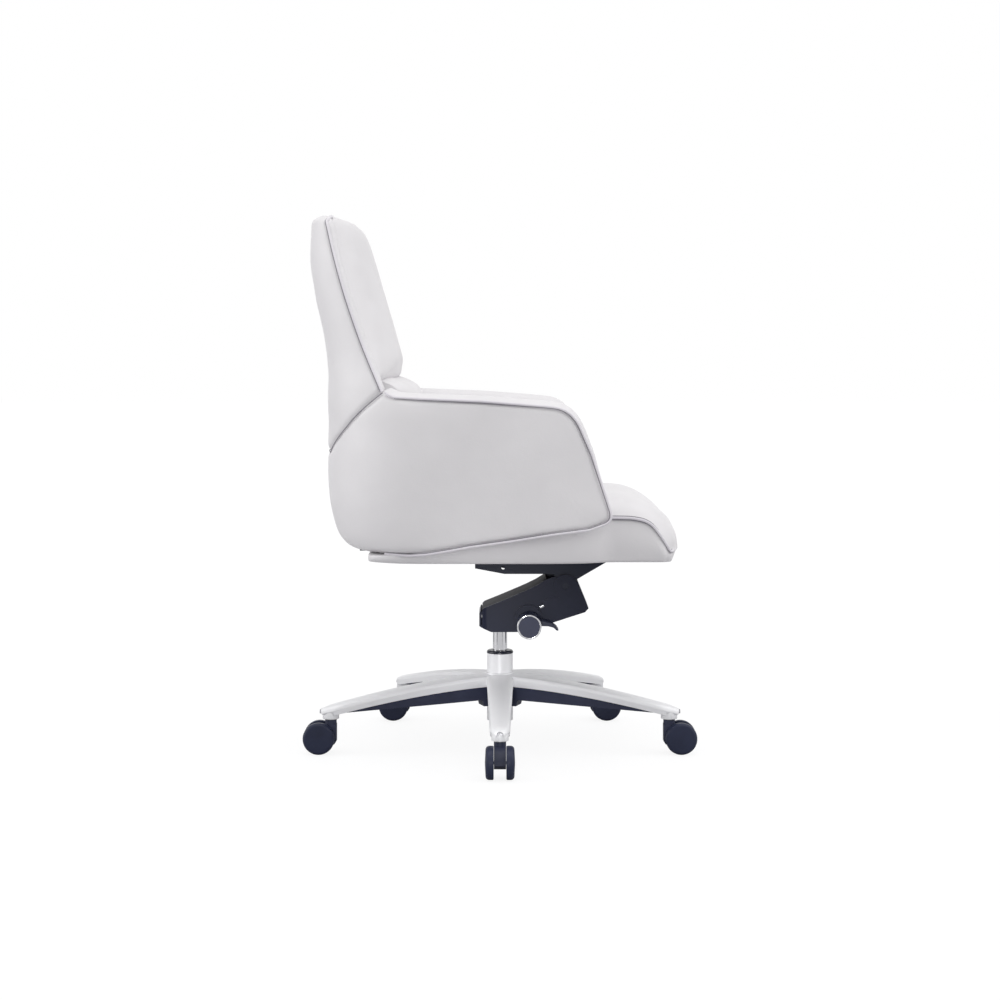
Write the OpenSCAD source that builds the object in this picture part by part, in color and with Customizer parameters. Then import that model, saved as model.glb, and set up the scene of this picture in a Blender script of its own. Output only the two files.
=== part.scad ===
// Swivel office chair with a low padded back and wrap-around arms. It stands on a five-legged
// base with twin-wheel casters, and a gas lift carries a tilt mechanism under the seat.
// The floor is Z = 0, the column's axis is the Z axis, and the sitter faces -Y.

/* [Base] */
// Radius of the circle on which the caster stems stand
stem_circle_r = 337.5; // [330:2.5:345]
// Radius at which a leg ends
leg_end_r = 358; // [354:1:362]
// Height of a leg's ridge at the hub
leg_hub_z = 139; // [136:1:142]
// Height of a leg's ridge at its end
leg_end_z = 87; // [85:1:90]
// Width of a leg at the hub
leg_hub_w = 54; // [50:1:56]
// Width of a leg at its end
leg_end_w = 36; // [34:1:40]

/* [Casters] */
// Diameter of a caster wheel
wheel_d = 60; // [58:1:60]
// Width of one wheel
wheel_w = 15.7; // [14:0.1:16]
// Gap between the inner faces of the two wheels
wheel_gap = 22.6; // [22.6:0.1:24]
// Distance from the stem's axis to the wheels' axle
caster_trail = 22; // [20:1:24]

/* [Column] */
// Diameter of the column's lower tube
column_d = 50; // [49:1:51]
// Height of the guide cap's top
column_top_z = 182; // [178:1:184]
// Diameter of the sliding pressure tube
lift_d = 28; // [27.9:0.1:28.1]

/* [Mechanism] */
// Distance of the tilt pivot in front of the column
pivot_front = 126; // [124:1:128]
// Height of the tilt pivot
pivot_z = 312.7; // [311:0.1:314]
// Distance of the lever and knob axis in front of the column
lever_front = 55; // [53:1:57]
// Height of the lever and knob axis
lever_z = 244.5; // [243:0.5:246]
// Width of the mechanism's housing
housing_w = 124; // [122:1:126]
// Diameter of the hole in the seat plate's side flanges
flange_hole_d = 7; // [6:0.5:8]

/* [Seat and arms] */
// Height of the seat's underside
seat_under_z = 378; // [376:1:380]
// Outer width across the arms
arms_w = 624; // [616:2:632]
// Thickness of an arm
arm_t = 58; // [54:1:60]
// Width of the seat cushion
cushion_w = 500; // [496:1:504]

/* [Back] */
// Width of the back at its top
back_top_w = 400; // [380:5:420]
// Width of the back where it meets the arms
back_low_w = 580; // [570:5:590]
// Height of the top of the back
back_top_z = 1015; // [1010:1:1020]

/* [Hidden] */
$fn = 64;
CASTERS = [1, 2, 3, 4, 5];

fit = 0.05;
leg_turn = 72;
leg_thick_hub = 24;
leg_thick_end = 18.5;
boss_r = 15.5;
boss_low_z = 65.5;
hub_r = 29;
hub_low_z = 76;
stem_r = 5.5;
sleeve_r = 9;
stem_top_z = 82;
yoke_half_w = wheel_gap / 2 - 0.5;
yoke_top_z = 64;
wheel_r = wheel_d / 2;
axle_r = 3;
rod_r = 5;
lift_r = lift_d / 2;
lift_bore_r = 11;
column_low_z = 46;
bush_r = 21;
taper_low_z = 226;
taper_top_z = 266;
pin_r = 6;
pivot_y = -pivot_front;
lever_y = -lever_front;
flange_x = 54;
flange_t = 3;
plate_t = 3;
wall = 4;
spindle_r = 5;
sleeve_outer_r = 8;
knob_r = 23;
knob_face_x = -150;
knob_back_x = -118;
board_t = 12;
board_half_w = 272;
arm_out_x = arms_w / 2;
arm_in_x = arm_out_x - arm_t;
tub_rear_y = 330;
tub_corner_r = 150;
join_y = 150;
panel_x = 258;
panel_t = 12;
panel_mid_x = panel_x + panel_t / 2;
panel_bolt_y = [-90, 0, 90];
bolt_head_h = 1;
plate_bolt_at = [for (x = [-75, 75], y = [-170, 20]) [x, y]];
bracket_x = [-150, 150];
bracket_foot_y = 214;
bracket_hole_z = 450;
board_rear_y = 228;
board_lean = [[262, 600], [326, 985]];
board_low_z = 402;
lumbar_half_w = 238;

// The arm's side outline: crown, raked front and rising bottom edge, as [Y, Z].
arm_outline = [
    [150, 690], [0, 684], [-88, 679.5], [-115, 673], [-133, 660], [-144, 640],
    [-170.5, 569], [-190, 500], [-196, 466], [-190, 455], [-171, 446], [-150, 440],
    [-4, 420.5], [85, 409], [150, 401]
];
// The seam between the upper back shell and the lower wrap, from the arm's top to the rear.
wrap_seam = [[213, 687], [241, 672], [262, 652], [284, 630], [301, 612], [316, 593], [330, 573]];
// The seam between the seat cushion and the seat's lower box, from the rear to the front.
seat_seam = [[-190, 461], [-228, 459], [-257, 453], [-280, 440], [-299, 414], [-311, 388]];

// ---------- helpers ----------

// Stands a [Y, Z] outline up and extrudes it along X between two places.
module slab(x0, x1) {
    translate([x0, 0, 0]) rotate([90, 0, 90]) linear_extrude(x1 - x0) children();
}

// Stands an [X, Z] outline up and extrudes it along Y between two places.
module slab_y(y0, y1) {
    translate([0, y1, 0]) rotate([90, 0, 0]) linear_extrude(y1 - y0) children();
}

// Extrudes a plan upwards between two heights.
module linear_extrude_between(z0, z1) {
    translate([0, 0, z0]) linear_extrude(z1 - z0) children();
}

// Extrudes an [X, Z] outline through the whole depth.
module front_prism() {
    translate([0, 600, 0]) rotate([90, 0, 0]) linear_extrude(1200) children();
}

// A cylinder along X, from x0 to x1, on the axis at [y, z].
module rod_x(r, x0, x1, y, z) {
    translate([x0, y, z]) rotate([0, 90, 0]) cylinder(r = r, h = x1 - x0);
}

// A rectangle from [x0, y0] to [x1, y1] with round corners.
module round_rect(x0, y0, x1, y1, r) {
    translate([x0 + r, y0]) square([x1 - x0 - 2 * r, y1 - y0]);
    translate([x0, y0 + r]) square([x1 - x0, y1 - y0 - 2 * r]);
    for (x = [x0 + r, x1 - r], y = [y0 + r, y1 - r]) translate([x, y]) circle(r);
}

// Places its children on the leg with the given number; the first leg points along -X.
module on_leg(i) {
    rotate(180 + leg_turn * (i - 1)) children();
}

// The direction in which a caster trails at rest: the first along -X, the others along +-Y.
function trail_dir(i) = i == 1 ? 180 : (i < 4 ? -90 : 90);

// Places its children at a caster's stem, turned so that +X is the trailing direction.
module at_caster(i) {
    a = 180 + leg_turn * (i - 1);
    translate([stem_circle_r * cos(a), stem_circle_r * sin(a), 0]) rotate(trail_dir(i)) children();
}

function ridge_z(r) = leg_hub_z - (leg_hub_z - leg_end_z) * pow(r / leg_end_r, 1.6);
function leg_thick(r) = leg_thick_hub + (leg_thick_end - leg_thick_hub) * r / leg_end_r;

// ---------- base ----------

module leg_plan(inset) {
    tip_r = leg_end_w / 2 - inset;
    polygon(concat(
        [[0, -leg_hub_w / 2 + inset]],
        [for (a = [-90:15:90]) [leg_end_r - leg_end_w / 2 + tip_r * cos(a), tip_r * sin(a)]],
        [[0, leg_hub_w / 2 - inset]]
    ));
}

module leg_side(top_drop, bottom_drop) {
    steps = [0:8];
    polygon(concat(
        [for (k = steps) let (r = k * leg_end_r / 8) [r, ridge_z(r) - top_drop]],
        [for (k = steps) let (r = (8 - k) * leg_end_r / 8) [r, ridge_z(r) - leg_thick(r) - bottom_drop]]
    ));
}

module leg_body(inset, top_drop, bottom_drop) {
    intersection() {
        linear_extrude(200) leg_plan(inset);
        rotate([90, 0, 0]) translate([0, 0, -40]) linear_extrude(80) leg_side(top_drop, bottom_drop);
    }
}

module base_star() {
    color("gainsboro") difference() {
        union() {
            for (i = CASTERS) on_leg(i) leg_body(0, 0, 0);
            translate([0, 0, hub_low_z]) cylinder(r = hub_r, h = leg_hub_z + 0.8 - hub_low_z);
            for (i = CASTERS) on_leg(i) translate([stem_circle_r, 0, boss_low_z])
                cylinder(r = boss_r, h = leg_end_z - boss_low_z - 4);
        }
        for (i = CASTERS) on_leg(i) intersection() {
            leg_body(5, 6, 8);
            translate([hub_r, -40, 0]) cube([stem_circle_r - boss_r - hub_r - 4, 80, 200]);
        }
        translate([0, 0, hub_low_z - 1]) cylinder(r = column_d / 2 + fit, h = 100);
        for (i = CASTERS) on_leg(i) translate([stem_circle_r, 0, boss_low_z - 1])
            cylinder(r = sleeve_r, h = stem_top_z - boss_low_z + 1);
    }
}

// Dark ribs that fill the legs' undersides and deepen towards the hub.
module base_keels() {
    keel_end_r = 316;
    keel_half_w = 18;
    color("#363948") for (i = CASTERS) on_leg(i) difference() {
        intersection() {
            translate([hub_r + 0.3, -keel_half_w, 60]) cube([keel_end_r - hub_r, 2 * keel_half_w, 100]);
            rotate([90, 0, 0]) translate([0, 0, -keel_half_w]) linear_extrude(2 * keel_half_w)
                polygon(concat(
                    [for (k = [1:7]) let (r = k * leg_end_r / 8) [r, ridge_z(r) - 6.5]],
                    [[keel_end_r, 77], [44, 88], [40, 86], [38, 76], [0, 76], [0, ridge_z(0) - 6.5]]
                ));
            linear_extrude(200) leg_plan(5.3);
        }
        translate([stem_circle_r, 0, 0]) cylinder(r = boss_r + 0.5, h = 200);
    }
}

module socket_sleeves() {
    color("dimgray") for (i = CASTERS) on_leg(i) translate([stem_circle_r, 0, boss_low_z]) difference() {
        union() {
            cylinder(r = sleeve_r, h = stem_top_z - boss_low_z);
            translate([0, 0, -1.2]) cylinder(r = sleeve_r + 2, h = 1.2);
        }
        translate([0, 0, -2]) cylinder(r = stem_r + fit, h = stem_top_z - boss_low_z + 1);
    }
}

// ---------- casters ----------

module caster_stem() {
    color("silver") {
        translate([0, 0, 40]) cylinder(r = stem_r, h = stem_top_z - 40 - 2);
        translate([0, 0, yoke_top_z - 2]) cylinder(r = 8, h = 2);
    }
}

module caster_yoke() {
    post_r = 11;
    color("#2b2d38") difference() {
        union() {
            slab_y(-yoke_half_w, yoke_half_w) polygon([
                [-7, 18], [20, 18], [34, 26], [34, 34], [24, 48], [post_r, 56], [post_r, yoke_top_z - 8],
                [-post_r, yoke_top_z - 8], [-post_r, 24]
            ]);
            translate([0, 0, yoke_top_z - 10]) cylinder(r = post_r, h = 10);
        }
        translate([0, 0, 40 - fit]) cylinder(r = stem_r + fit, h = 40);
        translate([0, 0, yoke_top_z - 2 - fit]) cylinder(r = 8 + fit, h = 5);
        translate([caster_trail, 30, wheel_r]) rotate([90, 0, 0]) cylinder(r = axle_r, h = 60);
    }
}

module caster_axle() {
    half = wheel_gap / 2 + wheel_w - 4;
    color("silver") translate([caster_trail, half, wheel_r]) rotate([90, 0, 0])
        cylinder(r = axle_r, h = 2 * half);
}

// One wheel on the side given by its sign, with a closed crowned outer face.
module caster_wheel(side) {
    edge_r = 6.5;
    crown = 1.2;
    rim = [for (k = [0:6]) let (a = k * 15) [
        wheel_r - edge_r + edge_r * cos(a), wheel_w - crown - edge_r + edge_r * sin(a)
    ]];
    color("#23252f") translate([caster_trail, side * wheel_gap / 2, wheel_r])
        rotate([-90 * side, 0, 0]) rotate_extrude() polygon(concat(
            [[axle_r + fit, 0], [wheel_r - 1.5, 0], [wheel_r, 1.5]],
            rim,
            [[0, wheel_w], [0, wheel_w - 3.5], [axle_r + fit, wheel_w - 3.5]]
        ));
}

// ---------- column ----------

module column_tube() {
    color("gainsboro") difference() {
        translate([0, 0, column_low_z]) cylinder(r = column_d / 2, h = column_top_z - 6 - column_low_z);
        translate([0, 0, column_low_z + 4]) cylinder(r = bush_r, h = 200);
        translate([0, 0, column_low_z - 1]) cylinder(r = rod_r + fit, h = 10);
    }
}

module guide_bush() {
    cap_z = column_top_z - 6;
    color("#202024") rotate_extrude() polygon([
        [lift_r + fit, cap_z - 50], [bush_r, cap_z - 50], [bush_r, cap_z], [column_d / 2 + 0.7, cap_z],
        [column_d / 2 + 0.7, cap_z + 3], [column_d / 2 - 1.5, cap_z + 6], [lift_r + fit, cap_z + 6]
    ]);
}

module pressure_tube() {
    color("silver") rotate_extrude() polygon([
        [rod_r + fit, 62], [lift_r, 62], [lift_r, taper_low_z], [lift_r - 1, taper_top_z],
        [4, taper_top_z], [4, 240], [lift_bore_r, 236], [lift_bore_r, 66], [rod_r + fit, 66]
    ]);
}

module piston_rod() {
    color("silver") rotate_extrude() polygon([
        [0, 42], [rod_r - 1, 42], [rod_r - 1, 44], [rod_r, 44], [rod_r, 160],
        [lift_bore_r - fit, 160], [lift_bore_r - fit, 170], [0, 170]
    ]);
}

module release_pin() {
    color("goldenrod") union() {
        translate([0, 0, 250]) cylinder(r = 4 - fit, h = taper_top_z - 250);
        translate([0, 0, taper_top_z]) cylinder(r = 3, h = 6.5);
    }
}

module thrust_bearing() {
    z0 = column_low_z + 4;
    color("lightsteelblue") {
        for (z = [z0, z0 + 5]) translate([0, 0, z]) difference() {
            cylinder(r = 13, h = 1.5);
            translate([0, 0, -1]) cylinder(r = rod_r + fit, h = 4);
        }
        for (a = [0:45:315]) rotate(a) translate([9.5, 0, z0 + 3.25]) sphere(r = 1.7);
    }
}

module retaining_clip() {
    color("dimgray") translate([0, 0, 42.6]) difference() {
        cylinder(r = 8, h = 1.4);
        translate([0, 0, -1]) cylinder(r = rod_r - 1, h = 4);
        translate([0, -1.5, -1]) cube([10, 3, 4]);
    }
}

// ---------- mechanism ----------

// The housing's side outline, drawn in by the given inset.
module housing_outline(inset) {
    polygon([
        [40 - inset, 234 + inset], [17, 224 + inset], [-32, 224 + inset], [-80, 235.5 + inset],
        [-163 + inset, 262 + inset], [-170 + inset, 270 + inset / 2], [-149 + inset, 321],
        [-104, 330], [-89, 325 - inset], [-71, 314 - inset], [-52, 304.6 - inset], [-34.5, 297 - inset],
        [2, 281.6 - inset], [31, 270 - inset], [37 - inset, 264 - inset], [40 - inset, 258 - inset]
    ]);
}

module housing_plan() {
    round_rect(-housing_w / 2, -175, housing_w / 2, 40, 16);
}

// Raised panel on the cheek, from the pivot's round boss down to the nose.
module cheek_panel() {
    translate([pivot_y, pivot_z]) circle(22);
    polygon([[-104, 312], [-112, 292], [-140, 268], [-163, 262], [-170, 270], [-149, 321]]);
}

module mech_housing() {
    half = housing_w / 2;
    cover_t = 3;
    color("#363948") difference() {
        union() {
            intersection() {
                slab(-half, half) housing_outline(0);
                linear_extrude(400) housing_plan();
            }
            slab(-half, half) difference() {
                translate([pivot_y, pivot_z]) circle(22);
                translate([-200, 200]) square([100, 100]);
            }
            for (s = [-1, 1]) slab(s > 0 ? half - 1 : -half - 2, s > 0 ? half + 2 : -half + 1) cheek_panel();
            for (s = [-1, 1]) slab(s > 0 ? half - 1 : -half - 1, s > 0 ? half + 1 : -half + 1)
                intersection() {
                    translate([-104, 266]) circle(26);
                    housing_outline(0);
                }
            rod_x(26, -half - 6, -half + 1, lever_y, lever_z + 6);
        }
        slab(-half + wall, half - wall) housing_outline(wall);
        slab(-half + wall, half - wall) polygon([[-145, 300], [-92, 300], [-92, 340], [-160, 340]]);
        slab(-half + wall, half - wall) polygon([
            [-95, 322], [-71, 309], [-34.5, 292], [2, 277], [34, 260], [60, 300], [-95, 360]
        ]);
        rod_x(pin_r + fit, -100, 100, pivot_y, pivot_z);
        rod_x(sleeve_outer_r + fit, -100, 0, lever_y, lever_z);
        rod_x(spindle_r + fit, 0, 100, lever_y, lever_z);
        translate([0, 0, 200]) cylinder(r = 19, h = 40);
        translate([0, -80, 273]) rotate([-25, 0, 0]) cube([200, 10, 5], center = true);
    }
}

// Glossy lid over the housing's sloping top.
module housing_cover() {
    half = housing_w / 2 - wall - 0.2;
    color("#2b2d38") slab(-half, half) polygon([
        [-89, 325], [-71, 314], [-52, 304.6], [-34.5, 297], [2, 281.6], [31, 270], [34.5, 266],
        [34.5, 262], [31, 266.5], [2, 278], [-34.5, 293.4], [-52, 301], [-71, 310.4], [-89, 321]
    ]);
}

module flange_outline() {
    polygon([
        [48, 376], [48, 345.6], [-8.6, 335], [-104, 335], [-108, 312], [-144, 312],
        [-149, 325.5], [-222, 368], [-222, 376]
    ]);
    translate([pivot_y, pivot_z]) circle(18);
}

module seat_plate() {
    top = seat_under_z;
    half = 95;
    color("#2b2d38") difference() {
        union() {
            linear_extrude_between(top - plate_t, top) round_rect(-half, -222, half, 48, 8);
            for (s = [-1, 1]) slab(s > 0 ? flange_x : -flange_x - flange_t, s > 0 ? flange_x + flange_t : -flange_x)
                flange_outline();
        }
        rod_x(pin_r + fit, -100, 100, pivot_y, pivot_z);
        rod_x(flange_hole_d / 2, -100, 100, -6, 347);
        for (at = plate_bolt_at) translate([at.x, at.y, top - 10]) cylinder(r = 4.5, h = 20);
    }
}

module pivot_pin() {
    end_x = housing_w / 2 + 1;
    color("silver") rod_x(pin_r, -end_x, end_x, pivot_y, pivot_z);
}

// A helical wire swept with rings of eight points; its ends are closed.
module tension_spring() {
    mean_r = 12;
    wire_r = 2.4;
    pitch = 7.6;
    turns = 10;
    per_turn = 20;
    sides = 8;
    rings = turns * per_turn;
    start_x = -turns * pitch / 2;
    points = [for (k = [0:rings], j = [0:sides - 1])
        let (a = k * 360 / per_turn, b = j * 360 / sides)
        [
            start_x + pitch * a / 360 + wire_r * sin(b),
            pivot_y + (mean_r + wire_r * cos(b)) * cos(a),
            pivot_z + (mean_r + wire_r * cos(b)) * sin(a)
        ]];
    faces = concat(
        [[for (j = [0:sides - 1]) j]],
        [for (k = [0:rings - 1], j = [0:sides - 1]) [
            k * sides + j, (k + 1) * sides + j,
            (k + 1) * sides + (j + 1) % sides, k * sides + (j + 1) % sides
        ]],
        [[for (j = [sides - 1:-1:0]) rings * sides + j]]
    );
    color("silver") polyhedron(points, faces);
}

module taper_socket() {
    color("dimgray") difference() {
        translate([0, 0, taper_low_z - 1]) cylinder(r = 19, h = taper_top_z - taper_low_z - 1);
        rotate_extrude() polygon([
            [0, taper_low_z - 3], [lift_r + fit, taper_low_z - 3], [lift_r + fit, taper_low_z],
            [lift_r - 1 + fit, taper_top_z], [0, taper_top_z]
        ]);
    }
}

// Flat bar through both cheeks that locks the tilt.
module tilt_lock_bar() {
    half = housing_w / 2 + 1.5;
    color("silver") translate([0, -80, 273]) rotate([-25, 0, 0])
        cube([2 * half, 9.6, 4.6], center = true);
}

module tension_spindle() {
    color("silver") rod_x(spindle_r, knob_back_x + 2, housing_w / 2 + 1, lever_y, lever_z);
}

module tension_knob() {
    color("#2b2d38") translate([0, lever_y, lever_z]) rotate([0, 90, 0]) difference() {
        union() {
            translate([0, 0, knob_face_x + 1]) cylinder(r = knob_r - 3, h = 4);
            translate([0, 0, knob_face_x + 4]) cylinder(r = knob_r, h = knob_back_x - knob_face_x - 4);
        }
        translate([0, 0, knob_back_x - 20]) cylinder(r = spindle_r, h = 40);
    }
}

module knob_ring() {
    color("white") translate([knob_face_x, lever_y, lever_z]) rotate([0, 90, 0]) difference() {
        cylinder(r = knob_r, h = 4);
        translate([0, 0, -1]) cylinder(r = knob_r - 3, h = 6);
    }
}

// Curved finger blade on a collar that turns on the same axis as the knob.
module lever_paddle() {
    inner_x = -50;
    collar_x0 = knob_back_x + 1;
    collar_x1 = -96;
    color("#23252f") difference() {
        union() {
            rod_x(knob_r, collar_x0, collar_x1, lever_y, lever_z);
            rod_x(sleeve_outer_r, collar_x1 - 1, inner_x, lever_y, lever_z);
            slab(collar_x0, collar_x1 + 14) polygon([
                [lever_y - 10, lever_z + 10], [lever_y - 28, lever_z + 7], [lever_y - 42, lever_z + 3.5],
                [lever_y - 52, lever_z - 4], [lever_y - 56, lever_z - 10], [lever_y - 53, lever_z - 11],
                [lever_y - 46, lever_z - 5], [lever_y - 36, lever_z - 2.5], [lever_y - 10, lever_z - 2]
            ]);
        }
        rod_x(spindle_r + fit, -200, 0, lever_y, lever_z);
    }
}

// Clamped on the lever's sleeve; its foot presses the release pin.
module release_rocker() {
    foot_z = 273;
    collar_r = 10;
    color("dimgray") difference() {
        union() {
            rod_x(collar_r, -49, -40, lever_y, lever_z);
            slab(-49, -40) polygon([
                [lever_y - 6, lever_z + 9], [lever_y + 8, lever_z + 8], [-30, foot_z - 6],
                [7, foot_z - 1], [7, foot_z + 2.5], [-34, foot_z + 2.5]
            ]);
            translate([-44, -7, foot_z]) cube([51, 14, 2.5]);
        }
        rod_x(sleeve_outer_r, -60, -30, lever_y, lever_z);
    }
}

// ---------- seat ----------

// The seat's plan with round front corners and a slightly bowed front edge.
module seat_plan(half_w, front_y, rear_y, corner_r) {
    bow_r = 1400;
    intersection() {
        round_rect(-half_w, front_y, half_w, rear_y + corner_r, corner_r);
        translate([0, front_y + bow_r]) circle(bow_r, $fn = 256);
        translate([-half_w, front_y]) square([2 * half_w, rear_y - front_y]);
    }
}

// The seat board's plan, wider between the arms than in front of them, grown by the given amount.
module board_plan(grow) {
    seat_plan(225 + grow, -275 - grow, 190, 60);
    round_rect(-board_half_w - grow, -128 - grow, board_half_w + grow, board_rear_y + grow, 12);
}

module seat_board() {
    color("burlywood") difference() {
        linear_extrude_between(seat_under_z, seat_under_z + board_t) board_plan(0);
        for (at = plate_bolt_at) translate([at.x, at.y, 0]) cylinder(r = 4 + fit, h = 500);
        for (x = bracket_x) translate([x, bracket_foot_y, 0]) cylinder(r = 3 + fit, h = 500);
        for (s = [-1, 1], y = panel_bolt_y) translate([s * panel_mid_x, y, 0])
            cylinder(r = 3 + fit, h = 500);
    }
}

module panel_slots(grow) {
    for (s = [-1, 1]) translate([s > 0 ? panel_x - grow : -panel_x - panel_t - grow, -120 - grow, seat_under_z + board_t])
        cube([panel_t + 2 * grow, 240 + 2 * grow, 260 + grow]);
}

// Lower box of the seat: foam and leather round the board's edge.
module seat_base_pad() {
    color("#cfcbd1") difference() {
        union() {
            intersection() {
                slab(-cushion_w / 2, cushion_w / 2) polygon(concat(
                    [[200, 460]], seat_seam, [[-316, 384], [-310, seat_under_z], [200, seat_under_z]]
                ));
                linear_extrude(600) seat_plan(cushion_w / 2, -324, 200, 30);
            }
            intersection() {
                slab(-285, 285) polygon([
                    [-210, seat_under_z], [-215, 384], [-215, 420], [-196, 430], [-190, 454], [-171, 445.5],
                    [-150, 439.5], [-4, 420], [85, 408.5], [150, 400.5], [200, 391], [257, 391],
                    [257, seat_under_z]
                ]);
                linear_extrude(600) seat_plan(285, -215, 257, 70);
            }
        }
        linear_extrude_between(seat_under_z - 1, seat_under_z + board_t) board_plan(0.2);
        panel_slots(0.3);
        for (at = plate_bolt_at) translate([at.x, at.y, 0]) cylinder(r = 8, h = seat_under_z + 30);
        for (x = bracket_x) translate([x - 25, 190, seat_under_z + board_t]) cube([50, 80, 90]);
    }
}

module seat_cushion() {
    color("whitesmoke") intersection() {
        slab(-cushion_w / 2, cushion_w / 2) polygon(concat(
            [
                [-318, 370], [-336, 371], [-339, 392], [-331, 423], [-315, 452], [-290, 473], [-259, 491],
                [-231, 501], [-200, 504], [0, 498], [190, 488], [190, 460.3]
            ],
            seat_seam,
            [[-316.5, 384]]
        ));
        linear_extrude(600) seat_plan(cushion_w / 2, -339, 190, 30);
    }
}

// ---------- arms and back ----------

// The plan of the padded wall that makes the arms and the lower back.
module tub_plan() {
    difference() {
        round_rect(-arm_out_x, -500, arm_out_x, tub_rear_y, tub_corner_r);
        round_rect(-arm_in_x, -500, arm_in_x, tub_rear_y - 56, tub_corner_r - 56);
        translate([-500, -600]) square([1000, 300]);
    }
}

module arm(side) {
    color("whitesmoke") difference() {
        intersection() {
            slab(side > 0 ? arm_in_x : -arm_out_x, side > 0 ? arm_out_x : -arm_in_x) polygon(arm_outline);
            linear_extrude(800) tub_plan();
        }
        panel_slots(0.3);
    }
}

module arm_panels() {
    color("burlywood") difference() {
        intersection() {
            panel_slots(0);
            slab(-400, 400) polygon([[120, 380], [120, 650], [-100, 650], [-120, 560], [-120, 380]]);
        }
        for (s = [-1, 1], y = panel_bolt_y) translate([s * panel_mid_x, y, 0])
            cylinder(r = 3 + fit, h = 431);
    }
}

module back_wrap() {
    pocket_half_w = lumbar_half_w + 0.3;
    color("whitesmoke") difference() {
        intersection() {
            slab(-400, 400) polygon(concat(
                [[join_y, 401], [join_y, 690], [190, 689]],
                wrap_seam,
                [
                    [328, 531], [325, 487], [319, 452], [310, 425], [299, 407], [284, 396], [262, 391],
                    [222, 392]
                ]
            ));
            linear_extrude(800) tub_plan();
        }
        slab(-pocket_half_w, pocket_half_w) polygon(concat(
            [[join_y - 1, 380], [board_lean[0].x + board_t + 0.1, 380]],
            board_line(board_t + 0.1),
            [[join_y - 1, board_lean[1].y]]
        ));
    }
}

// The back's outline seen from the front, drawn in by the given inset.
module back_front(inset) {
    polygon([
        [-back_low_w / 2 + inset, 560], [back_low_w / 2 - inset, 560], [back_low_w / 2 - inset, 687],
        [back_top_w / 2 - inset, 1030], [-back_top_w / 2 + inset, 1030], [-back_low_w / 2 + inset, 687]
    ]);
}

// Where the back board leans, as [Y, Z]; the shift moves the line rearwards.
function board_line(shift) = [for (at = board_lean) [at.x + shift, at.y]];

// The back's outer form: a round-cornered plan that narrows and leans back as it rises.
module shell_form() {
    plan_t = 0.1;
    module plan(z, half_w, rear_y, corner_r) {
        translate([0, 0, z]) linear_extrude(plan_t) round_rect(-half_w, 0, half_w, rear_y, corner_r, $fn = 32);
    }
    hull() {
        plan(560, arm_out_x, 331, 148);
        plan(back_top_z + 5, back_top_w / 2, 374, 100);
    }
}

module back_shell() {
    color("whitesmoke") difference() {
        intersection() {
            shell_form();
            slab(-400, 400) polygon(concat(
                wrap_seam,
                [
                    [325, 629], [325, 705], [328.5, 740], [334, 779], [342.7, 820], [352.4, 870],
                    [358, 900], [364, 948], [366, 1000], [360, 1010], [346, back_top_z], [328, back_top_z - 2],
                    [290, 882], [253, 778]
                ]
            ));
        }
        intersection() {
            slab(-400, 400) polygon(concat(
                [[100, 500], [board_lean[0].x + board_t, 500]],
                board_line(board_t),
                [[320, 1002], [100, 1020]]
            ));
            front_prism() back_front(27);
        }
    }
}

module back_board() {
    inset = 75;
    foot_half_w = 180;
    color("burlywood") difference() {
        intersection() {
            slab(-400, 400) polygon(concat(
                [[board_lean[0].x, board_low_z]],
                board_line(0),
                [board_line(board_t)[1], board_line(board_t)[0]],
                [[board_lean[0].x + board_t, board_low_z]]
            ));
            front_prism() {
                back_front(inset);
                translate([-foot_half_w, board_low_z]) square([2 * foot_half_w, 561 - board_low_z]);
            }
        }
        for (x = bracket_x) translate([x, 240, bracket_hole_z]) rotate([-90, 0, 0])
            cylinder(r = 3 + fit, h = 60);
    }
}

module back_cushion() {
    color("whitesmoke") intersection() {
        slab(-400, 400) polygon([
            [280, 713.5], [325, 985], [316, 1003], [303, 1007], [286, 1004], [269, 987], [257, 967],
            [232, 883], [203, 780], [192, 728], [194, 717], [205, 713.5]
        ]);
        front_prism() back_front(29);
    }
}

module lumbar_cushion() {
    color("whitesmoke") slab(-lumbar_half_w, lumbar_half_w) polygon([
        [261, 492], [261, 600], [279, 712], [190, 712], [172, 706], [160, 694], [152, 660],
        [150, 600], [152, 520], [160, 498], [176, 492]
    ]);
}

module frame_brackets() {
    z0 = seat_under_z + board_t;
    color("dimgray") for (x = bracket_x) difference() {
        union() {
            translate([x - 20, 198, z0]) cube([40, 64, 4]);
            translate([x - 20, 258, z0]) cube([40, 4, 90]);
        }
        translate([x, bracket_foot_y, z0 - 1]) cylinder(r = 3 + fit, h = 10);
        translate([x, 240, bracket_hole_z]) rotate([-90, 0, 0]) cylinder(r = 3 + fit, h = 60);
    }
}

// A bolt with a round head; it points up from the head's seat at Z = 0.
module bolt(shank_r, shank_len, head_r, head_h) {
    cylinder(r = shank_r, h = shank_len);
    translate([0, 0, -head_h]) cylinder(r = head_r, h = head_h);
}

module frame_bolts() {
    z0 = seat_under_z;
    color("dimgray") {
        for (at = plate_bolt_at) translate([at.x, at.y, z0 - plate_t]) bolt(4, plate_t + 20, 7.5, 5);
        for (x = bracket_x) translate([x, bracket_foot_y, z0 + board_t + 4]) mirror([0, 0, 1])
            bolt(3, 14, 6, 3);
        for (x = bracket_x) translate([x, 258, bracket_hole_z]) rotate([-90, 0, 0]) bolt(3, 14, 6, 3);
        for (s = [-1, 1], y = panel_bolt_y) translate([s * panel_mid_x, y, z0])
            bolt(3, 52, 6, bolt_head_h);
    }
}

// ---------- parts ----------

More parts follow.
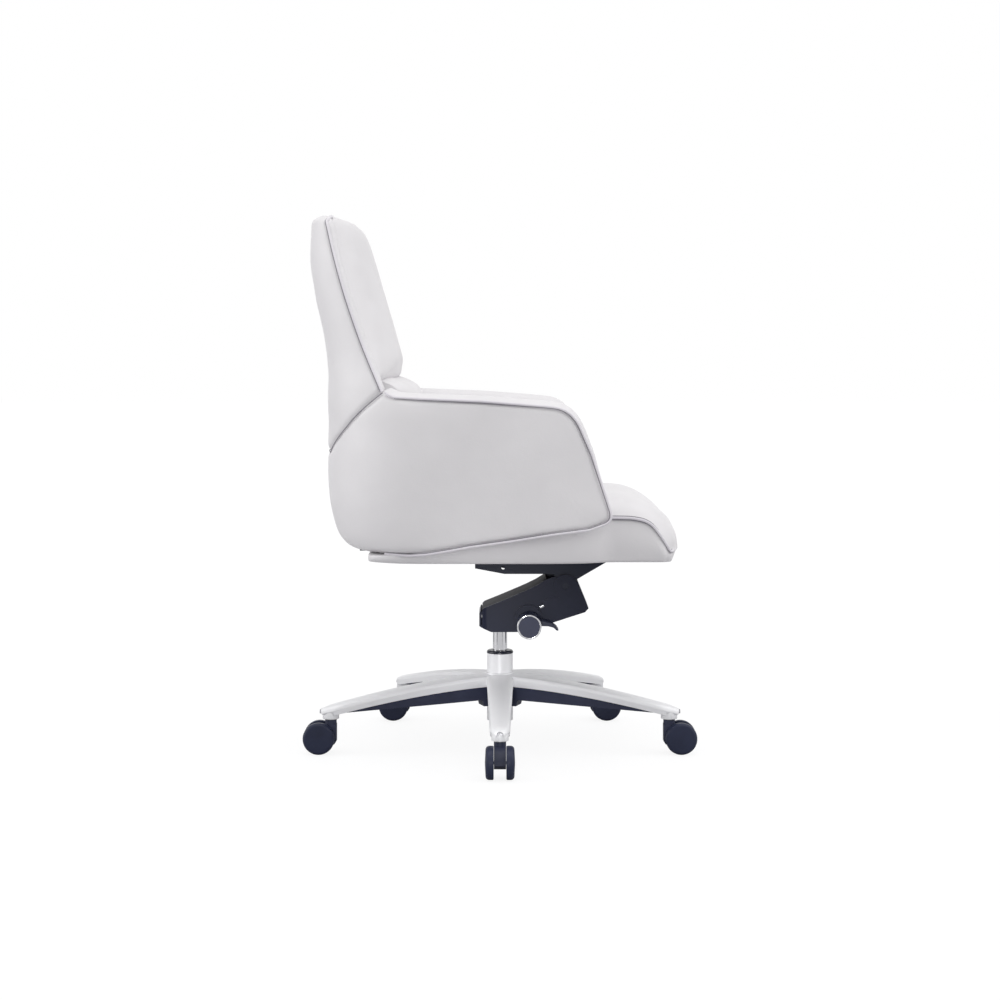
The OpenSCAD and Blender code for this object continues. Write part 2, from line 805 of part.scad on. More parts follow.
base_star();
base_keels();
socket_sleeves();
for (i = CASTERS) {
    at_caster(i) caster_stem();
    at_caster(i) caster_yoke();
    at_caster(i) caster_axle();
    at_caster(i) caster_wheel(1);
    at_caster(i) caster_wheel(-1);
}
column_tube();
guide_bush();
pressure_tube();
piston_rod();
release_pin();
thrust_bearing();
retaining_clip();
seat_plate();
mech_housing();
housing_cover();
pivot_pin();
tension_spring();
taper_socket();
tilt_lock_bar();
tension_spindle();
tension_knob();
knob_ring();
lever_paddle();
release_rocker();
seat_board();
seat_base_pad();
seat_cushion();
arm(-1);  // arm_right
arm(1);  // arm_left
arm_panels();
back_wrap();
back_shell();
back_board();
back_cushion();
lumbar_cushion();
frame_brackets();
frame_bolts();
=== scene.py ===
import logging
import math
from dataclasses import dataclass, field
from enum import Enum
from typing import Callable, Iterable, Sequence

import bpy
import numpy as np
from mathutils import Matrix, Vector, noise


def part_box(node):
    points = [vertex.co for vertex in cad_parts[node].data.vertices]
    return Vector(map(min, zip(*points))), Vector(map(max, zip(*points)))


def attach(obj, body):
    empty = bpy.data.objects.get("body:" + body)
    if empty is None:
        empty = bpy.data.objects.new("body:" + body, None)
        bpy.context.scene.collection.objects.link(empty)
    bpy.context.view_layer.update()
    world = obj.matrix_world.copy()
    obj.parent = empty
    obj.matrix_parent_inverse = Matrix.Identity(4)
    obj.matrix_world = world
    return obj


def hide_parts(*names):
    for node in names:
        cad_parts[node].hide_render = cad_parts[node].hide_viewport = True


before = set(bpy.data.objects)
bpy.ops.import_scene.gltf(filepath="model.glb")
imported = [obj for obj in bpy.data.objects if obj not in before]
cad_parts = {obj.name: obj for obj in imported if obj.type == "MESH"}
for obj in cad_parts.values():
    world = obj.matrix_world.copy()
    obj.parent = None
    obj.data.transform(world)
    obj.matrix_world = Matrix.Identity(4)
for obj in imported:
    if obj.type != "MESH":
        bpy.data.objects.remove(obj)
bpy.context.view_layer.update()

logging.basicConfig(level=logging.INFO, format="%(message)s")
LOG = logging.getLogger("office_chair")
MM = 0.001
MERGE = 1e-5
# Radius of the thin dark cords that paint the shadow in the seams.
SEAM_SHADOW_RADIUS = 1.0 * MM
CORD_STEP = 6 * MM
CASTERS = range(1, 6)
Point = tuple[float, float]
Place = tuple[float, float, float]


class Body(Enum):
    """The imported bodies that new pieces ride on."""

    BASE = "base"
    SEAT = "seat"


class Side(Enum):
    """Sides of the chair as signs along X; the sitter's right is -X."""

    RIGHT = -1
    LEFT = 1


# ---------- small shared tools ----------


def srgb(code: str) -> tuple[float, float, float, float]:
    """Turns an sRGB hex colour to linear.

    Args:
        code: six hex digits, with or without a leading #.

    Returns:
        Red, green, blue and an alpha of 1, in linear light.
    """
    digits = code.lstrip("#")
    parts = [int(digits[i:i + 2], 16) / 255 for i in (0, 2, 4)]
    linear = [p / 12.92 if p <= 0.04045 else ((p + 0.055) / 1.055) ** 2.4 for p in parts]
    return linear[0], linear[1], linear[2], 1.0


def add_node(
    tree: bpy.types.NodeTree,
    kind: str,
    values: dict | None = None,
    links: dict | None = None,
    **settings: object,
) -> bpy.types.Node:
    """Adds one shader node with its settings, socket values and incoming links.

    Args:
        tree: the node tree to add it to.
        kind: the node's type name.
        values: constants for its input sockets, by name or index.
        links: output sockets to link to its inputs, by name or index.
        **settings: attributes to set on the node.

    Returns:
        The new node.
    """
    node = tree.nodes.new(kind)
    for key, value in settings.items():
        setattr(node, key, value)
    for socket, value in (values or {}).items():
        node.inputs[socket].default_value = value
    for socket, source in (links or {}).items():
        tree.links.new(source, node.inputs[socket])
    return node


def smooth_step(low: float, high: float, value: float) -> float:
    """A smooth 0 to 1 as value goes from low to high; low may be the larger.

    Args:
        low: where it is 0.
        high: where it is 1.
        value: where to read it.

    Returns:
        The blend from 0 to 1.
    """
    t = min(1.0, max(0.0, (value - low) / (high - low)))
    return t * t * (3 - 2 * t)


@dataclass(frozen=True)
class Profile:
    """A smooth curve of one number against another, through a few chosen points."""

    points: tuple[Point, ...]

    def at(self, x: float) -> float:
        """Reads the curve.

        Args:
            x: where to read it; it is held at the ends.

        Returns:
            The height of the monotone cubic through the points.
        """
        pts = self.points
        if x <= pts[0][0]:
            return pts[0][1]
        if x >= pts[-1][0]:
            return pts[-1][1]
        k = next(i for i in range(len(pts) - 1) if x <= pts[i + 1][0])
        slopes = [(b[1] - a[1]) / (b[0] - a[0]) for a, b in zip(pts, pts[1:])]

        def tangent(i: int) -> float:
            """The monotone slope at a point."""
            if i == 0 or i == len(pts) - 1:
                return slopes[min(i, len(slopes) - 1)]
            left, right = slopes[i - 1], slopes[i]
            return 0.0 if left * right <= 0 else 2 * left * right / (left + right)

        (x0, y0), (x1, y1) = pts[k], pts[k + 1]
        h = x1 - x0
        t = (x - x0) / h
        a = (1 + 2 * t) * (1 - t) ** 2 * y0 + t * t * (3 - 2 * t) * y1
        return a + h * (t * (1 - t) ** 2 * tangent(k) + t * t * (t - 1) * tangent(k + 1))


def link_new(name: str, data: bpy.types.ID) -> bpy.types.Object:
    """Puts new data into the scene as an object."""
    made = bpy.data.objects.new(name, data)
    bpy.context.scene.collection.objects.link(made)
    return made


def select_only(piece: bpy.types.Object) -> None:
    """Makes a piece the selected and active object."""
    bpy.ops.object.select_all(action="DESELECT")
    piece.select_set(True)
    bpy.context.view_layer.objects.active = piece


def apply_modifier(piece: bpy.types.Object, kind: str, **settings: object) -> None:
    """Adds a modifier and applies it.

    Args:
        piece: the object that it shapes.
        kind: the modifier's type name.
        **settings: attributes to set on it.
    """
    modifier = piece.modifiers.new(kind.title(), kind)
    for key, value in settings.items():
        setattr(modifier, key, value)
    select_only(piece)
    bpy.ops.object.modifier_apply(modifier=modifier.name)


def shade(piece: bpy.types.Object, angle: float = 35.0) -> None:
    """Smooths a piece's shading below an angle in degrees."""
    select_only(piece)
    bpy.ops.object.shade_smooth_by_angle(angle=math.radians(angle))


def settle(piece: bpy.types.Object) -> None:
    """Moves a piece's place into its mesh, so that its object is at the origin."""
    select_only(piece)
    bpy.ops.object.transform_apply(location=True, rotation=True, scale=True)


def recalculate(piece: bpy.types.Object) -> None:
    """Merges doubles and turns a piece's faces outwards."""
    select_only(piece)
    bpy.ops.object.mode_set(mode="EDIT")
    bpy.ops.mesh.select_all(action="SELECT")
    bpy.ops.mesh.remove_doubles(threshold=MERGE)
    bpy.ops.mesh.normals_make_consistent(inside=False)
    bpy.ops.object.mode_set(mode="OBJECT")


def move_points(piece: bpy.types.Object, rule: Callable[[Vector], Vector]) -> None:
    """Moves every point of a piece's mesh by a rule.

    Args:
        piece: the object to shape.
        rule: gives a point's new place from its old one.
    """
    for vertex in piece.data.vertices:
        vertex.co = rule(vertex.co)
    piece.data.update()


def new_cube(name: str, cuts: int) -> bpy.types.Object:
    """A cube from -1 to 1 with a grid of cuts on each face.

    Args:
        name: the piece's name.
        cuts: cuts along each edge.

    Returns:
        The new object.
    """
    bpy.ops.object.select_all(action="DESELECT")
    bpy.ops.mesh.primitive_cube_add(size=2)
    piece = bpy.context.active_object
    piece.name = piece.data.name = name
    bpy.ops.object.mode_set(mode="EDIT")
    bpy.ops.mesh.select_all(action="SELECT")
    bpy.ops.mesh.subdivide(number_cuts=cuts)
    bpy.ops.object.mode_set(mode="OBJECT")
    return piece


def sweep(name: str, path: Sequence[Vector], radius: float) -> bpy.types.Object:
    """A round tube along a path, as a mesh.

    Args:
        name: the piece's name.
        path: the points that it follows.
        radius: the tube's radius in metres.

    Returns:
        The new object.
    """
    data = bpy.data.curves.new(name, "CURVE")
    data.dimensions = "3D"
    data.bevel_depth = radius
    data.bevel_resolution = 2
    data.use_fill_caps = True
    spline = data.splines.new("POLY")
    spline.points.add(len(path) - 1)
    for point, place in zip(spline.points, path):
        point.co = (*place, 1)
    select_only(link_new(name, data))
    bpy.ops.object.convert(target="MESH")
    piece = bpy.context.active_object
    piece.name = piece.data.name = name
    recalculate(piece)
    shade(piece, 60)
    return piece


def seam_shadow_line(name: str, path: Sequence[Vector], offset: Vector | Callable[[Vector], Vector]) -> None:
    """Lays a thin dark cord beside a cord, as painted shadow in the sunk seam.

    Args:
        name: the piece's name.
        path: the cord's path.
        offset: how far the painted seam shadow lies from the cord, or a rule for it.
    """
    beside = [p + (offset(p) if callable(offset) else offset) for p in path]
    finish_piece(sweep(name, beside, SEAM_SHADOW_RADIUS), SEAM_SHADOW, Body.SEAT)


def even_path(points: Sequence[Vector]) -> list[Vector]:
    """Spaces a cord's path evenly.

    Args:
        points: the path's corners.

    Returns:
        The new points, both ends kept.
    """
    lengths = [0.0]
    for a, b in zip(points, points[1:]):
        lengths.append(lengths[-1] + (b - a).length)
    count = max(2, round(lengths[-1] / CORD_STEP))
    made, k = [], 0
    for i in range(count + 1):
        at = lengths[-1] * i / count
        while k < len(points) - 2 and lengths[k + 1] < at:
            k += 1
        span = lengths[k + 1] - lengths[k]
        made.append(points[k].lerp(points[k + 1], (at - lengths[k]) / span if span else 0))
    return made


def softness(place: Vector, size: float, amount: float) -> float:
    """A slow unevenness, as padded leather has.

    Args:
        place: where to read it.
        size: the length of its waves in metres.
        amount: its greatest height in metres.

    Returns:
        The height at that place.
    """
    return amount * noise.noise(place / size)


def join(pieces: Sequence[bpy.types.Object], name: str) -> bpy.types.Object:
    """Joins pieces into the first one and names it.

    Args:
        pieces: the objects to join.
        name: the joined piece's name.

    Returns:
        The joined object.
    """
    select_only(pieces[0])
    for piece in pieces[1:]:
        piece.select_set(True)
    bpy.ops.object.join()
    joined = bpy.context.active_object
    joined.name = joined.data.name = name
    return joined


def finish_piece(
    piece: bpy.types.Object, finish: "Finish", body: Body, replaced: Iterable[str] = ()
) -> None:
    """Dresses a piece and ties it to the frame.

    Args:
        piece: the finished object.
        finish: its material.
        body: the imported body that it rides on.
        replaced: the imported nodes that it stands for.
    """
    piece.data.materials.clear()
    piece.data.materials.append(finish.material())
    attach(piece, body.value)
    if replaced:
        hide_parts(*replaced)
    LOG.info("%s: %d faces", piece.name, len(piece.data.polygons))


def upholster(piece: bpy.types.Object, nodes: Iterable[str]) -> None:
    """Args:
        piece: the padded piece.
        nodes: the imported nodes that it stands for.
    """
    apply_modifier(piece, "SUBSURF", levels=1, render_levels=1)
    shade(piece, 80)
    finish_piece(piece, LEATHER, Body.SEAT, nodes)


# ---------- finishes ----------


@dataclass(frozen=True)
class Finish:
    """A surface finish; each kind draws its own nodes."""

    name: str
    slot: str

    def material(self) -> bpy.types.Material:
        """The finish's material, made once."""
        known = bpy.data.materials.get(self.name)
        if known:
            return known
        made = bpy.data.materials.new(self.name)
        made.use_nodes = True
        made.node_tree.nodes.clear()
        shader = self.draw(made.node_tree)
        add_node(made.node_tree, "ShaderNodeOutputMaterial", links={"Surface": shader.outputs[0]})
        return made

    def draw(self, tree: bpy.types.NodeTree) -> bpy.types.Node:
        """Draws the finish's nodes and returns its shader."""
        raise NotImplementedError


@dataclass(frozen=True)
class Leather(Finish):
    """Pigmented leather, milled soft: a fine pebble grain, faint creases and a low even sheen."""

    colour: str = "#E3E1E3"
    worn_colour: str = "#DDDBDD"
    grain_mm: float = 2.2
    crease_mm: float = 28.0

    def draw(self, tree: bpy.types.NodeTree) -> bpy.types.Node:
        """Draws pebble grain, creases and slow colour changes."""
        place = add_node(tree, "ShaderNodeTexCoord").outputs["Object"]
        cloud = add_node(
            tree, "ShaderNodeTexNoise", {"Scale": 5.0, "Detail": 3.0, "Roughness": 0.55}, {"Vector": place}
        )
        colour = add_node(tree, "ShaderNodeValToRGB", links={"Fac": cloud.outputs["Fac"]})
        colour.color_ramp.elements[0].position = 0.32
        colour.color_ramp.elements[0].color = srgb(self.worn_colour)
        colour.color_ramp.elements[1].position = 0.62
        colour.color_ramp.elements[1].color = srgb(self.colour)
        pebble = add_node(
            tree, "ShaderNodeTexVoronoi", {"Scale": 1 / (self.grain_mm * MM), "Randomness": 1.0},
            {"Vector": place}, feature="SMOOTH_F1",
        )
        crease = add_node(
            tree, "ShaderNodeTexNoise",
            {"Scale": 1 / (self.crease_mm * MM), "Detail": 4.0, "Roughness": 0.6, "Distortion": 0.8},
            {"Vector": place},
        )
        rough = add_node(
            tree, "ShaderNodeMapRange", {"To Min": 0.40, "To Max": 0.54}, {"Value": crease.outputs["Fac"]}
        )
        grain = add_node(
            tree, "ShaderNodeBump", {"Strength": 0.35, "Distance": 0.25 * MM},
            {"Height": pebble.outputs["Distance"]}, invert=True,
        )
        soft = add_node(
            tree, "ShaderNodeBump", {"Strength": 0.25, "Distance": 1.2 * MM},
            {"Height": crease.outputs["Fac"], "Normal": grain.outputs["Normal"]},
        )
        return add_node(
            tree, "ShaderNodeBsdfPrincipled",
            {"IOR": 1.5, "Sheen Weight": 0.08, "Sheen Roughness": 0.4, "Specular IOR Level": 0.42},
            {
                "Base Color": colour.outputs["Color"], "Roughness": rough.outputs["Result"],
                "Normal": soft.outputs["Normal"],
            },
        )


@dataclass(frozen=True)
class Grained(Finish):
    """One material in two close tones, with a fine grain in relief and gloss that follows the tones."""

    colour: str = "#808080"
    light_colour: str = ""
    darkening: float = 0.93
    roughness: float = 0.4
    gloss_span: Point = (-0.05, 0.05)
    least_roughness: float = 0.02
    metallic: float = 0.0
    specular: float = 0.5
    ior: float | None = 1.5
    grain_mm: float = 1.0
    grain_detail: float = 2.0
    relief: float = 0.3
    relief_mm: float = 0.1
    patches: Point = (14.0, 3.0)
    tone_ends: Point = (0.0, 1.0)
    lay: Place = (1.0, 1.0, 1.0)

    def tones(self) -> tuple[tuple[float, ...], tuple[float, ...]]:
        """The dark and the light tone; without a second colour, the dark one is a little under it."""
        first = srgb(self.colour)
        if self.light_colour:
            return first, srgb(self.light_colour)
        return tuple(self.darkening * c for c in first[:3]) + (1.0,), first

    def draw(self, tree: bpy.types.NodeTree) -> bpy.types.Node:
        """Draws the patches, the grain, stretched along its lay, and the gloss."""
        place = add_node(tree, "ShaderNodeTexCoord").outputs["Object"]
        scale, detail = self.patches
        cloud = add_node(tree, "ShaderNodeTexNoise", {"Scale": scale, "Detail": detail}, {"Vector": place})
        colour = add_node(tree, "ShaderNodeValToRGB", links={"Fac": cloud.outputs["Fac"]})
        for element, end, tone in zip(colour.color_ramp.elements, self.tone_ends, self.tones()):
            element.position = end
            element.color = tone
        lay = add_node(tree, "ShaderNodeMapping", {"Scale": self.lay}, {"Vector": place})
        grain = add_node(
            tree, "ShaderNodeTexNoise", {"Scale": 1 / (self.grain_mm * MM), "Detail": self.grain_detail},
            {"Vector": lay.outputs["Vector"]},
        )
        bump = add_node(
            tree, "ShaderNodeBump", {"Strength": self.relief, "Distance": self.relief_mm * MM},
            {"Height": grain.outputs["Fac"]},
        )
        smooth, rough = (self.roughness + step for step in self.gloss_span)
        gloss = add_node(
            tree, "ShaderNodeMapRange", {"To Min": max(self.least_roughness, smooth), "To Max": rough},
            {"Value": cloud.outputs["Fac"]},
        )
        values = {"Metallic": self.metallic, "Specular IOR Level": self.specular}
        if self.ior:
            values["IOR"] = self.ior
        return add_node(
            tree, "ShaderNodeBsdfPrincipled", values,
            {
                "Base Color": colour.outputs["Color"], "Roughness": gloss.outputs["Result"],
                "Normal": bump.outputs["Normal"],
            },
        )


@dataclass(frozen=True)
class MouldedPlastic(Grained):
    """Glass-filled nylon from a spark-eroded mould: near black, an even grain and dusty lighter patches."""

    roughness: float = 0.42
    gloss_span: Point = (-0.05, 0.08)
    specular: float = 0.3
    grain_mm: float = 0.9
    relief_mm: float = 0.12
    patches: Point = (18.0, 3.0)
    tone_ends: Point = (0.35, 0.75)


@dataclass(frozen=True)
class PaintedMetal(Grained):
    """Powder coat baked on steel: a faint orange peel under an even film."""

    roughness: float = 0.36
    gloss_span: Point = (-0.04, 0.06)
    specular: float = 0.28
    grain_mm: float = 1.6
    grain_detail: float = 1.0
    relief: float = 0.25
    patches: Point = (9.0, 2.0)
    tone_ends: Point = (0.3, 0.7)


@dataclass(frozen=True)
class BareMetal(Grained):
    """Cast, turned or plated metal: fine tool lines along one axis and slow changes of gloss."""

    roughness: float = 0.25
    gloss_span: Point = (-0.04, 0.05)
    metallic: float = 1.0
    ior: float | None = None
    grain_mm: float = 0.8
    relief_mm: float = 0.02


@dataclass(frozen=True)
class Plywood(Finish):
    """Rotary-cut beech veneer: long soft grain and short dark flecks."""

    light_colour: str = "#D9B98C"
    dark_colour: str = "#B98F5E"
    grain_mm: float = 5.0

    def draw(self, tree: bpy.types.NodeTree) -> bpy.types.Node:
        """Draws the long grain and the flecks."""
        place = add_node(tree, "ShaderNodeTexCoord").outputs["Object"]
        lay = add_node(tree, "ShaderNodeMapping", {"Scale": (1.0, 0.12, 1.0)}, {"Vector": place})
        grain = add_node(
            tree, "ShaderNodeTexNoise",
            {"Scale": 1 / (self.grain_mm * MM), "Detail": 5.0, "Distortion": 0.6},
            {"Vector": lay.outputs["Vector"]},
        )
        colour = add_node(tree, "ShaderNodeValToRGB", links={"Fac": grain.outputs["Fac"]})
        colour.color_ramp.elements[0].position = 0.35
        colour.color_ramp.elements[0].color = srgb(self.dark_colour)
        colour.color_ramp.elements[1].position = 0.65
        colour.color_ramp.elements[1].color = srgb(self.light_colour)
        bump = add_node(
            tree, "ShaderNodeBump", {"Strength": 0.3, "Distance": 0.15 * MM}, {"Height": grain.outputs["Fac"]}
        )
        return add_node(
            tree, "ShaderNodeBsdfPrincipled", {"Roughness": 0.6, "IOR": 1.5},
            {"Base Color": colour.outputs["Color"], "Normal": bump.outputs["Normal"]},
        )


@dataclass(frozen=True)
class StudioPaper(Finish):
    """Seamless background paper: matt, almost white."""

    colour: str = "#B8B8BA"
    glow: float = 0.72
    glow_strength: float = 1.21

    def draw(self, tree: bpy.types.NodeTree) -> bpy.types.Node:
        """Draws a matt sheet with the faintest fibre, lit through from below to the eye only."""
        place = add_node(tree, "ShaderNodeTexCoord").outputs["Object"]
        fibre = add_node(tree, "ShaderNodeTexNoise", {"Scale": 300.0}, {"Vector": place})
        bump = add_node(
            tree, "ShaderNodeBump", {"Strength": 0.1, "Distance": 0.1 * MM}, {"Height": fibre.outputs["Fac"]}
        )
        matt = add_node(
            tree, "ShaderNodeBsdfPrincipled", {"Base Color": srgb(self.colour), "Roughness": 0.7},
            {"Normal": bump.outputs["Normal"]},
        )
        light = add_node(tree, "ShaderNodeEmission", {"Strength": self.glow_strength})
        ray = add_node(tree, "ShaderNodeLightPath")
        share = add_node(
            tree, "ShaderNodeMath", {1: self.glow}, {0: ray.outputs["Is Camera Ray"]}, operation="MULTIPLY"
        )
        return add_node(
            tree, "ShaderNodeMixShader",
            links={0: share.outputs["Value"], 1: matt.outputs[0], 2: light.outputs[0]},
        )


LEATHER = Leather("milled_leather", "white_leather")
PIPING = Leather("piping_leather", "white_leather", colour="#E3E0E5", worn_colour="#D6D2D9", grain_mm=1.4)
# The seam cords' finish is painted shadow: a dark grey that stands for the shade in the sunk seams beside the
# piping and above the wrap.
SEAM_SHADOW = Leather("painted_seam_shadow", "white_leather", colour="#8F8C93", worn_colour="#827F87", grain_mm=1.0)
NYLON = MouldedPlastic("grained_nylon", "black_nylon", colour="#2D3145", light_colour="#363A50")
WHEEL_NYLON = MouldedPlastic("wheel_nylon", "black_nylon", colour="#20253A", light_colour="#282E46",
                             roughness=0.40)
GLOSS_NYLON = MouldedPlastic("gloss_nylon", "black_nylon", colour="#171A26", light_colour="#1D2130",
                             roughness=0.26, specular=0.5)
COVER_NYLON = MouldedPlastic("cover_nylon", "black_nylon", colour="#10131F", light_colour="#171A28",
                             roughness=0.5, specular=0.10)
BLACK_COAT = PaintedMetal("plate_powder_coat", "black_powder_coat", colour="#212533", light_colour="#262A39",
                          specular=0.2)
HOUSING_COAT = PaintedMetal("housing_powder_coat", "black_powder_coat", colour="#1A1D2E",
                            light_colour="#212538", specular=0.18)
SILVER_PAINT = PaintedMetal("silver_powder_coat", "silver_paint", colour="#EFEFF1", light_colour="#F5F5F7",
                            roughness=0.34, metallic=0.15, specular=0.5)
CASTING = BareMetal("satin_casting", "polished_aluminium", colour="#F6F6F8", roughness=0.46, grain_mm=3.0,
                    metallic=0.28)
CHROME = BareMetal("mirror_chrome", "chrome_plate", colour="#EFEFF1", roughness=0.06, relief_mm=0.004)
STEEL = BareMetal("turned_steel", "machined_steel", colour="#B8B8BC", roughness=0.24,
                  lay=(0.1, 1.0, 1.0))
ZINC = BareMetal("zinc_plate", "zinc_steel", colour="#8E8F94", roughness=0.4, grain_mm=2.5)
VENEER = Plywood("beech_veneer", "beech_plywood")
PAPER = StudioPaper("studio_paper", "")


# ---------- studio ----------


@dataclass
class Studio:
    """Camera at the side of the chair, pale floor and soft light."""

    camera_distance: float = 4.161
    camera_height: float = 0.755
    horizon_shift: float = -0.1447
    focal_px: float = 2137.0
    sensor_mm: float = 36.0
    picture_px: float = 1000.0
    sky_power: float = 0.94
    ceiling_power: float = 0.95
    spot_power: float = 90.0
    box_aim: Place = (0, 0, 0.5)
    flag_distance: float = 1.4
    flag_height: float = 1.2
    flags: tuple[Point, ...] = ((48.0, 0.22), (-38.0, 0.12), (-104.0, 0.60), (118.0, 0.30))
    bands: tuple[Point, ...] = (
        (0.0, 0.81), (0.18, 0.83), (0.30, 1.0), (0.62, 1.0), (0.72, 0.45), (0.84, 0.45), (0.93, 1.0),
        (1.0, 1.0),
    )

    def build(self) -> None:
        """Makes the camera, the floor, the sky and the lamps."""
        self.add_camera()
        self.add_floor()
        self.add_sky()
        ceiling = self.add_light(
            "ceiling", "SUN", (0, 0, 4), (0, 0, 0), energy=self.ceiling_power, angle=math.radians(70)
        )
        ceiling.rotation_euler = (math.radians(8), math.radians(-6), 0)
        self.add_light("rear_box", "AREA", (-0.5, 3.4, 1.3), self.box_aim, energy=26.0, size=2.2)
        self.add_light("front_box", "AREA", (-0.4, -3.4, 1.5), self.box_aim, energy=16.0, size=2.2)
        # A narrow spot lifts the column and the hub out of the seat's shadow.
        self.add_light(
            "column_spot", "SPOT", (-3.0, 0.15, 0.45), (0, 0, 0.17), energy=self.spot_power,
            spot_size=math.radians(8.5), spot_blend=0.8, shadow_soft_size=0.10,
        )
        for number, (angle, width) in enumerate(self.flags, 1):
            self.add_flag(f"flag_{number}", angle, width)

    def add_light(
        self, name: str, kind: str, place: Place, aim: Place, **settings: float
    ) -> bpy.types.Object:
        """Adds a light that faces a place.

        Args:
            name: the light's name.
            kind: its type name.
            place: where it hangs.
            aim: what it faces.
            **settings: attributes to set on its data.

        Returns:
            The light's object.
        """
        data = bpy.data.lights.new(name, kind)
        for key, value in settings.items():
            setattr(data, key, value)
        lamp = link_new(name, data)
        lamp.location = place
        lamp.rotation_euler = (Vector(aim) - Vector(place)).to_track_quat("-Z", "Y").to_euler()
        return lamp

    def add_flag(self, name: str, angle: float, width: float) -> None:
        """Stands a dark card beside the lens, which only polished surfaces see.

        Args:
            name: the card's name.
            angle: its direction from the lens in degrees, positive towards +Y.
            width: its width in metres.
        """
        bpy.ops.object.select_all(action="DESELECT")
        bpy.ops.mesh.primitive_plane_add(size=1)
        card = bpy.context.active_object
        card.name = name
        turn = math.radians(angle)
        card.scale = (width, self.flag_height, 1)
        card.rotation_euler = (math.pi / 2, 0, -math.pi / 2 - turn)
        reach = self.flag_distance
        card.location = (-reach * math.cos(turn), reach * math.sin(turn), self.flag_height / 2 + 0.01)
        card.data.materials.append(BLACK_COAT.material())
        card.visible_camera = card.visible_diffuse = card.visible_shadow = False

    def add_camera(self) -> None:
        """A long lens level with the arms, shifted down to take in the casters."""
        data = bpy.data.cameras.new("camera")
        data.sensor_width = self.sensor_mm
        data.lens = self.focal_px * self.sensor_mm / self.picture_px
        data.shift_y = self.horizon_shift
        data.clip_end = 100
        camera = link_new("camera", data)
        camera.location = (-self.camera_distance, 0, self.camera_height)
        camera.rotation_euler = (math.pi / 2, 0, -math.pi / 2)
        bpy.context.scene.camera = camera

    def add_floor(self) -> None:
        """A wide sheet of studio paper."""
        bpy.ops.object.select_all(action="DESELECT")
        bpy.ops.mesh.primitive_plane_add(size=60, location=(0, 0, 0))
        floor = bpy.context.active_object
        floor.name = "floor"
        floor.data.materials.append(PAPER.material())

    def add_sky(self) -> None:
        """A dim even surround that is seen as white."""
        world = bpy.data.worlds.new("surround")
        world.use_nodes = True
        tree = world.node_tree
        tree.nodes.clear()
        ray = add_node(tree, "ShaderNodeLightPath")
        place = add_node(tree, "ShaderNodeTexCoord").outputs["Generated"]
        split = add_node(tree, "ShaderNodeSeparateXYZ", links={"Vector": place})
        share = add_node(tree, "ShaderNodeMapRange", {"From Min": -1.0}, {"Value": split.outputs["X"]})
        bands = add_node(tree, "ShaderNodeValToRGB", links={"Fac": share.outputs["Result"]})
        bands.color_ramp.elements[0].color = (*[self.bands[0][1]] * 3, 1)
        bands.color_ramp.elements[1].color = (*[self.bands[-1][1]] * 3, 1)
        for position, grey in self.bands[1:-1]:
            bands.color_ramp.elements.new(position).color = (grey, grey, grey, 1)
        dim = add_node(
            tree, "ShaderNodeBackground", {"Strength": self.sky_power}, {"Color": bands.outputs["Color"]}
        )
        seen = add_node(tree, "ShaderNodeBackground", {"Color": (1, 1, 1, 1), "Strength": 1.0})
        mixed = add_node(
            tree, "ShaderNodeMixShader",
            links={0: ray.outputs["Is Camera Ray"], 1: dim.outputs[0], 2: seen.outputs[0]},
        )
        add_node(tree, "ShaderNodeOutputWorld", links={"Surface": mixed.outputs[0]})
        bpy.context.scene.world = world
        bpy.context.scene.view_settings.view_transform = "Standard"


# ---------- upholstery ----------


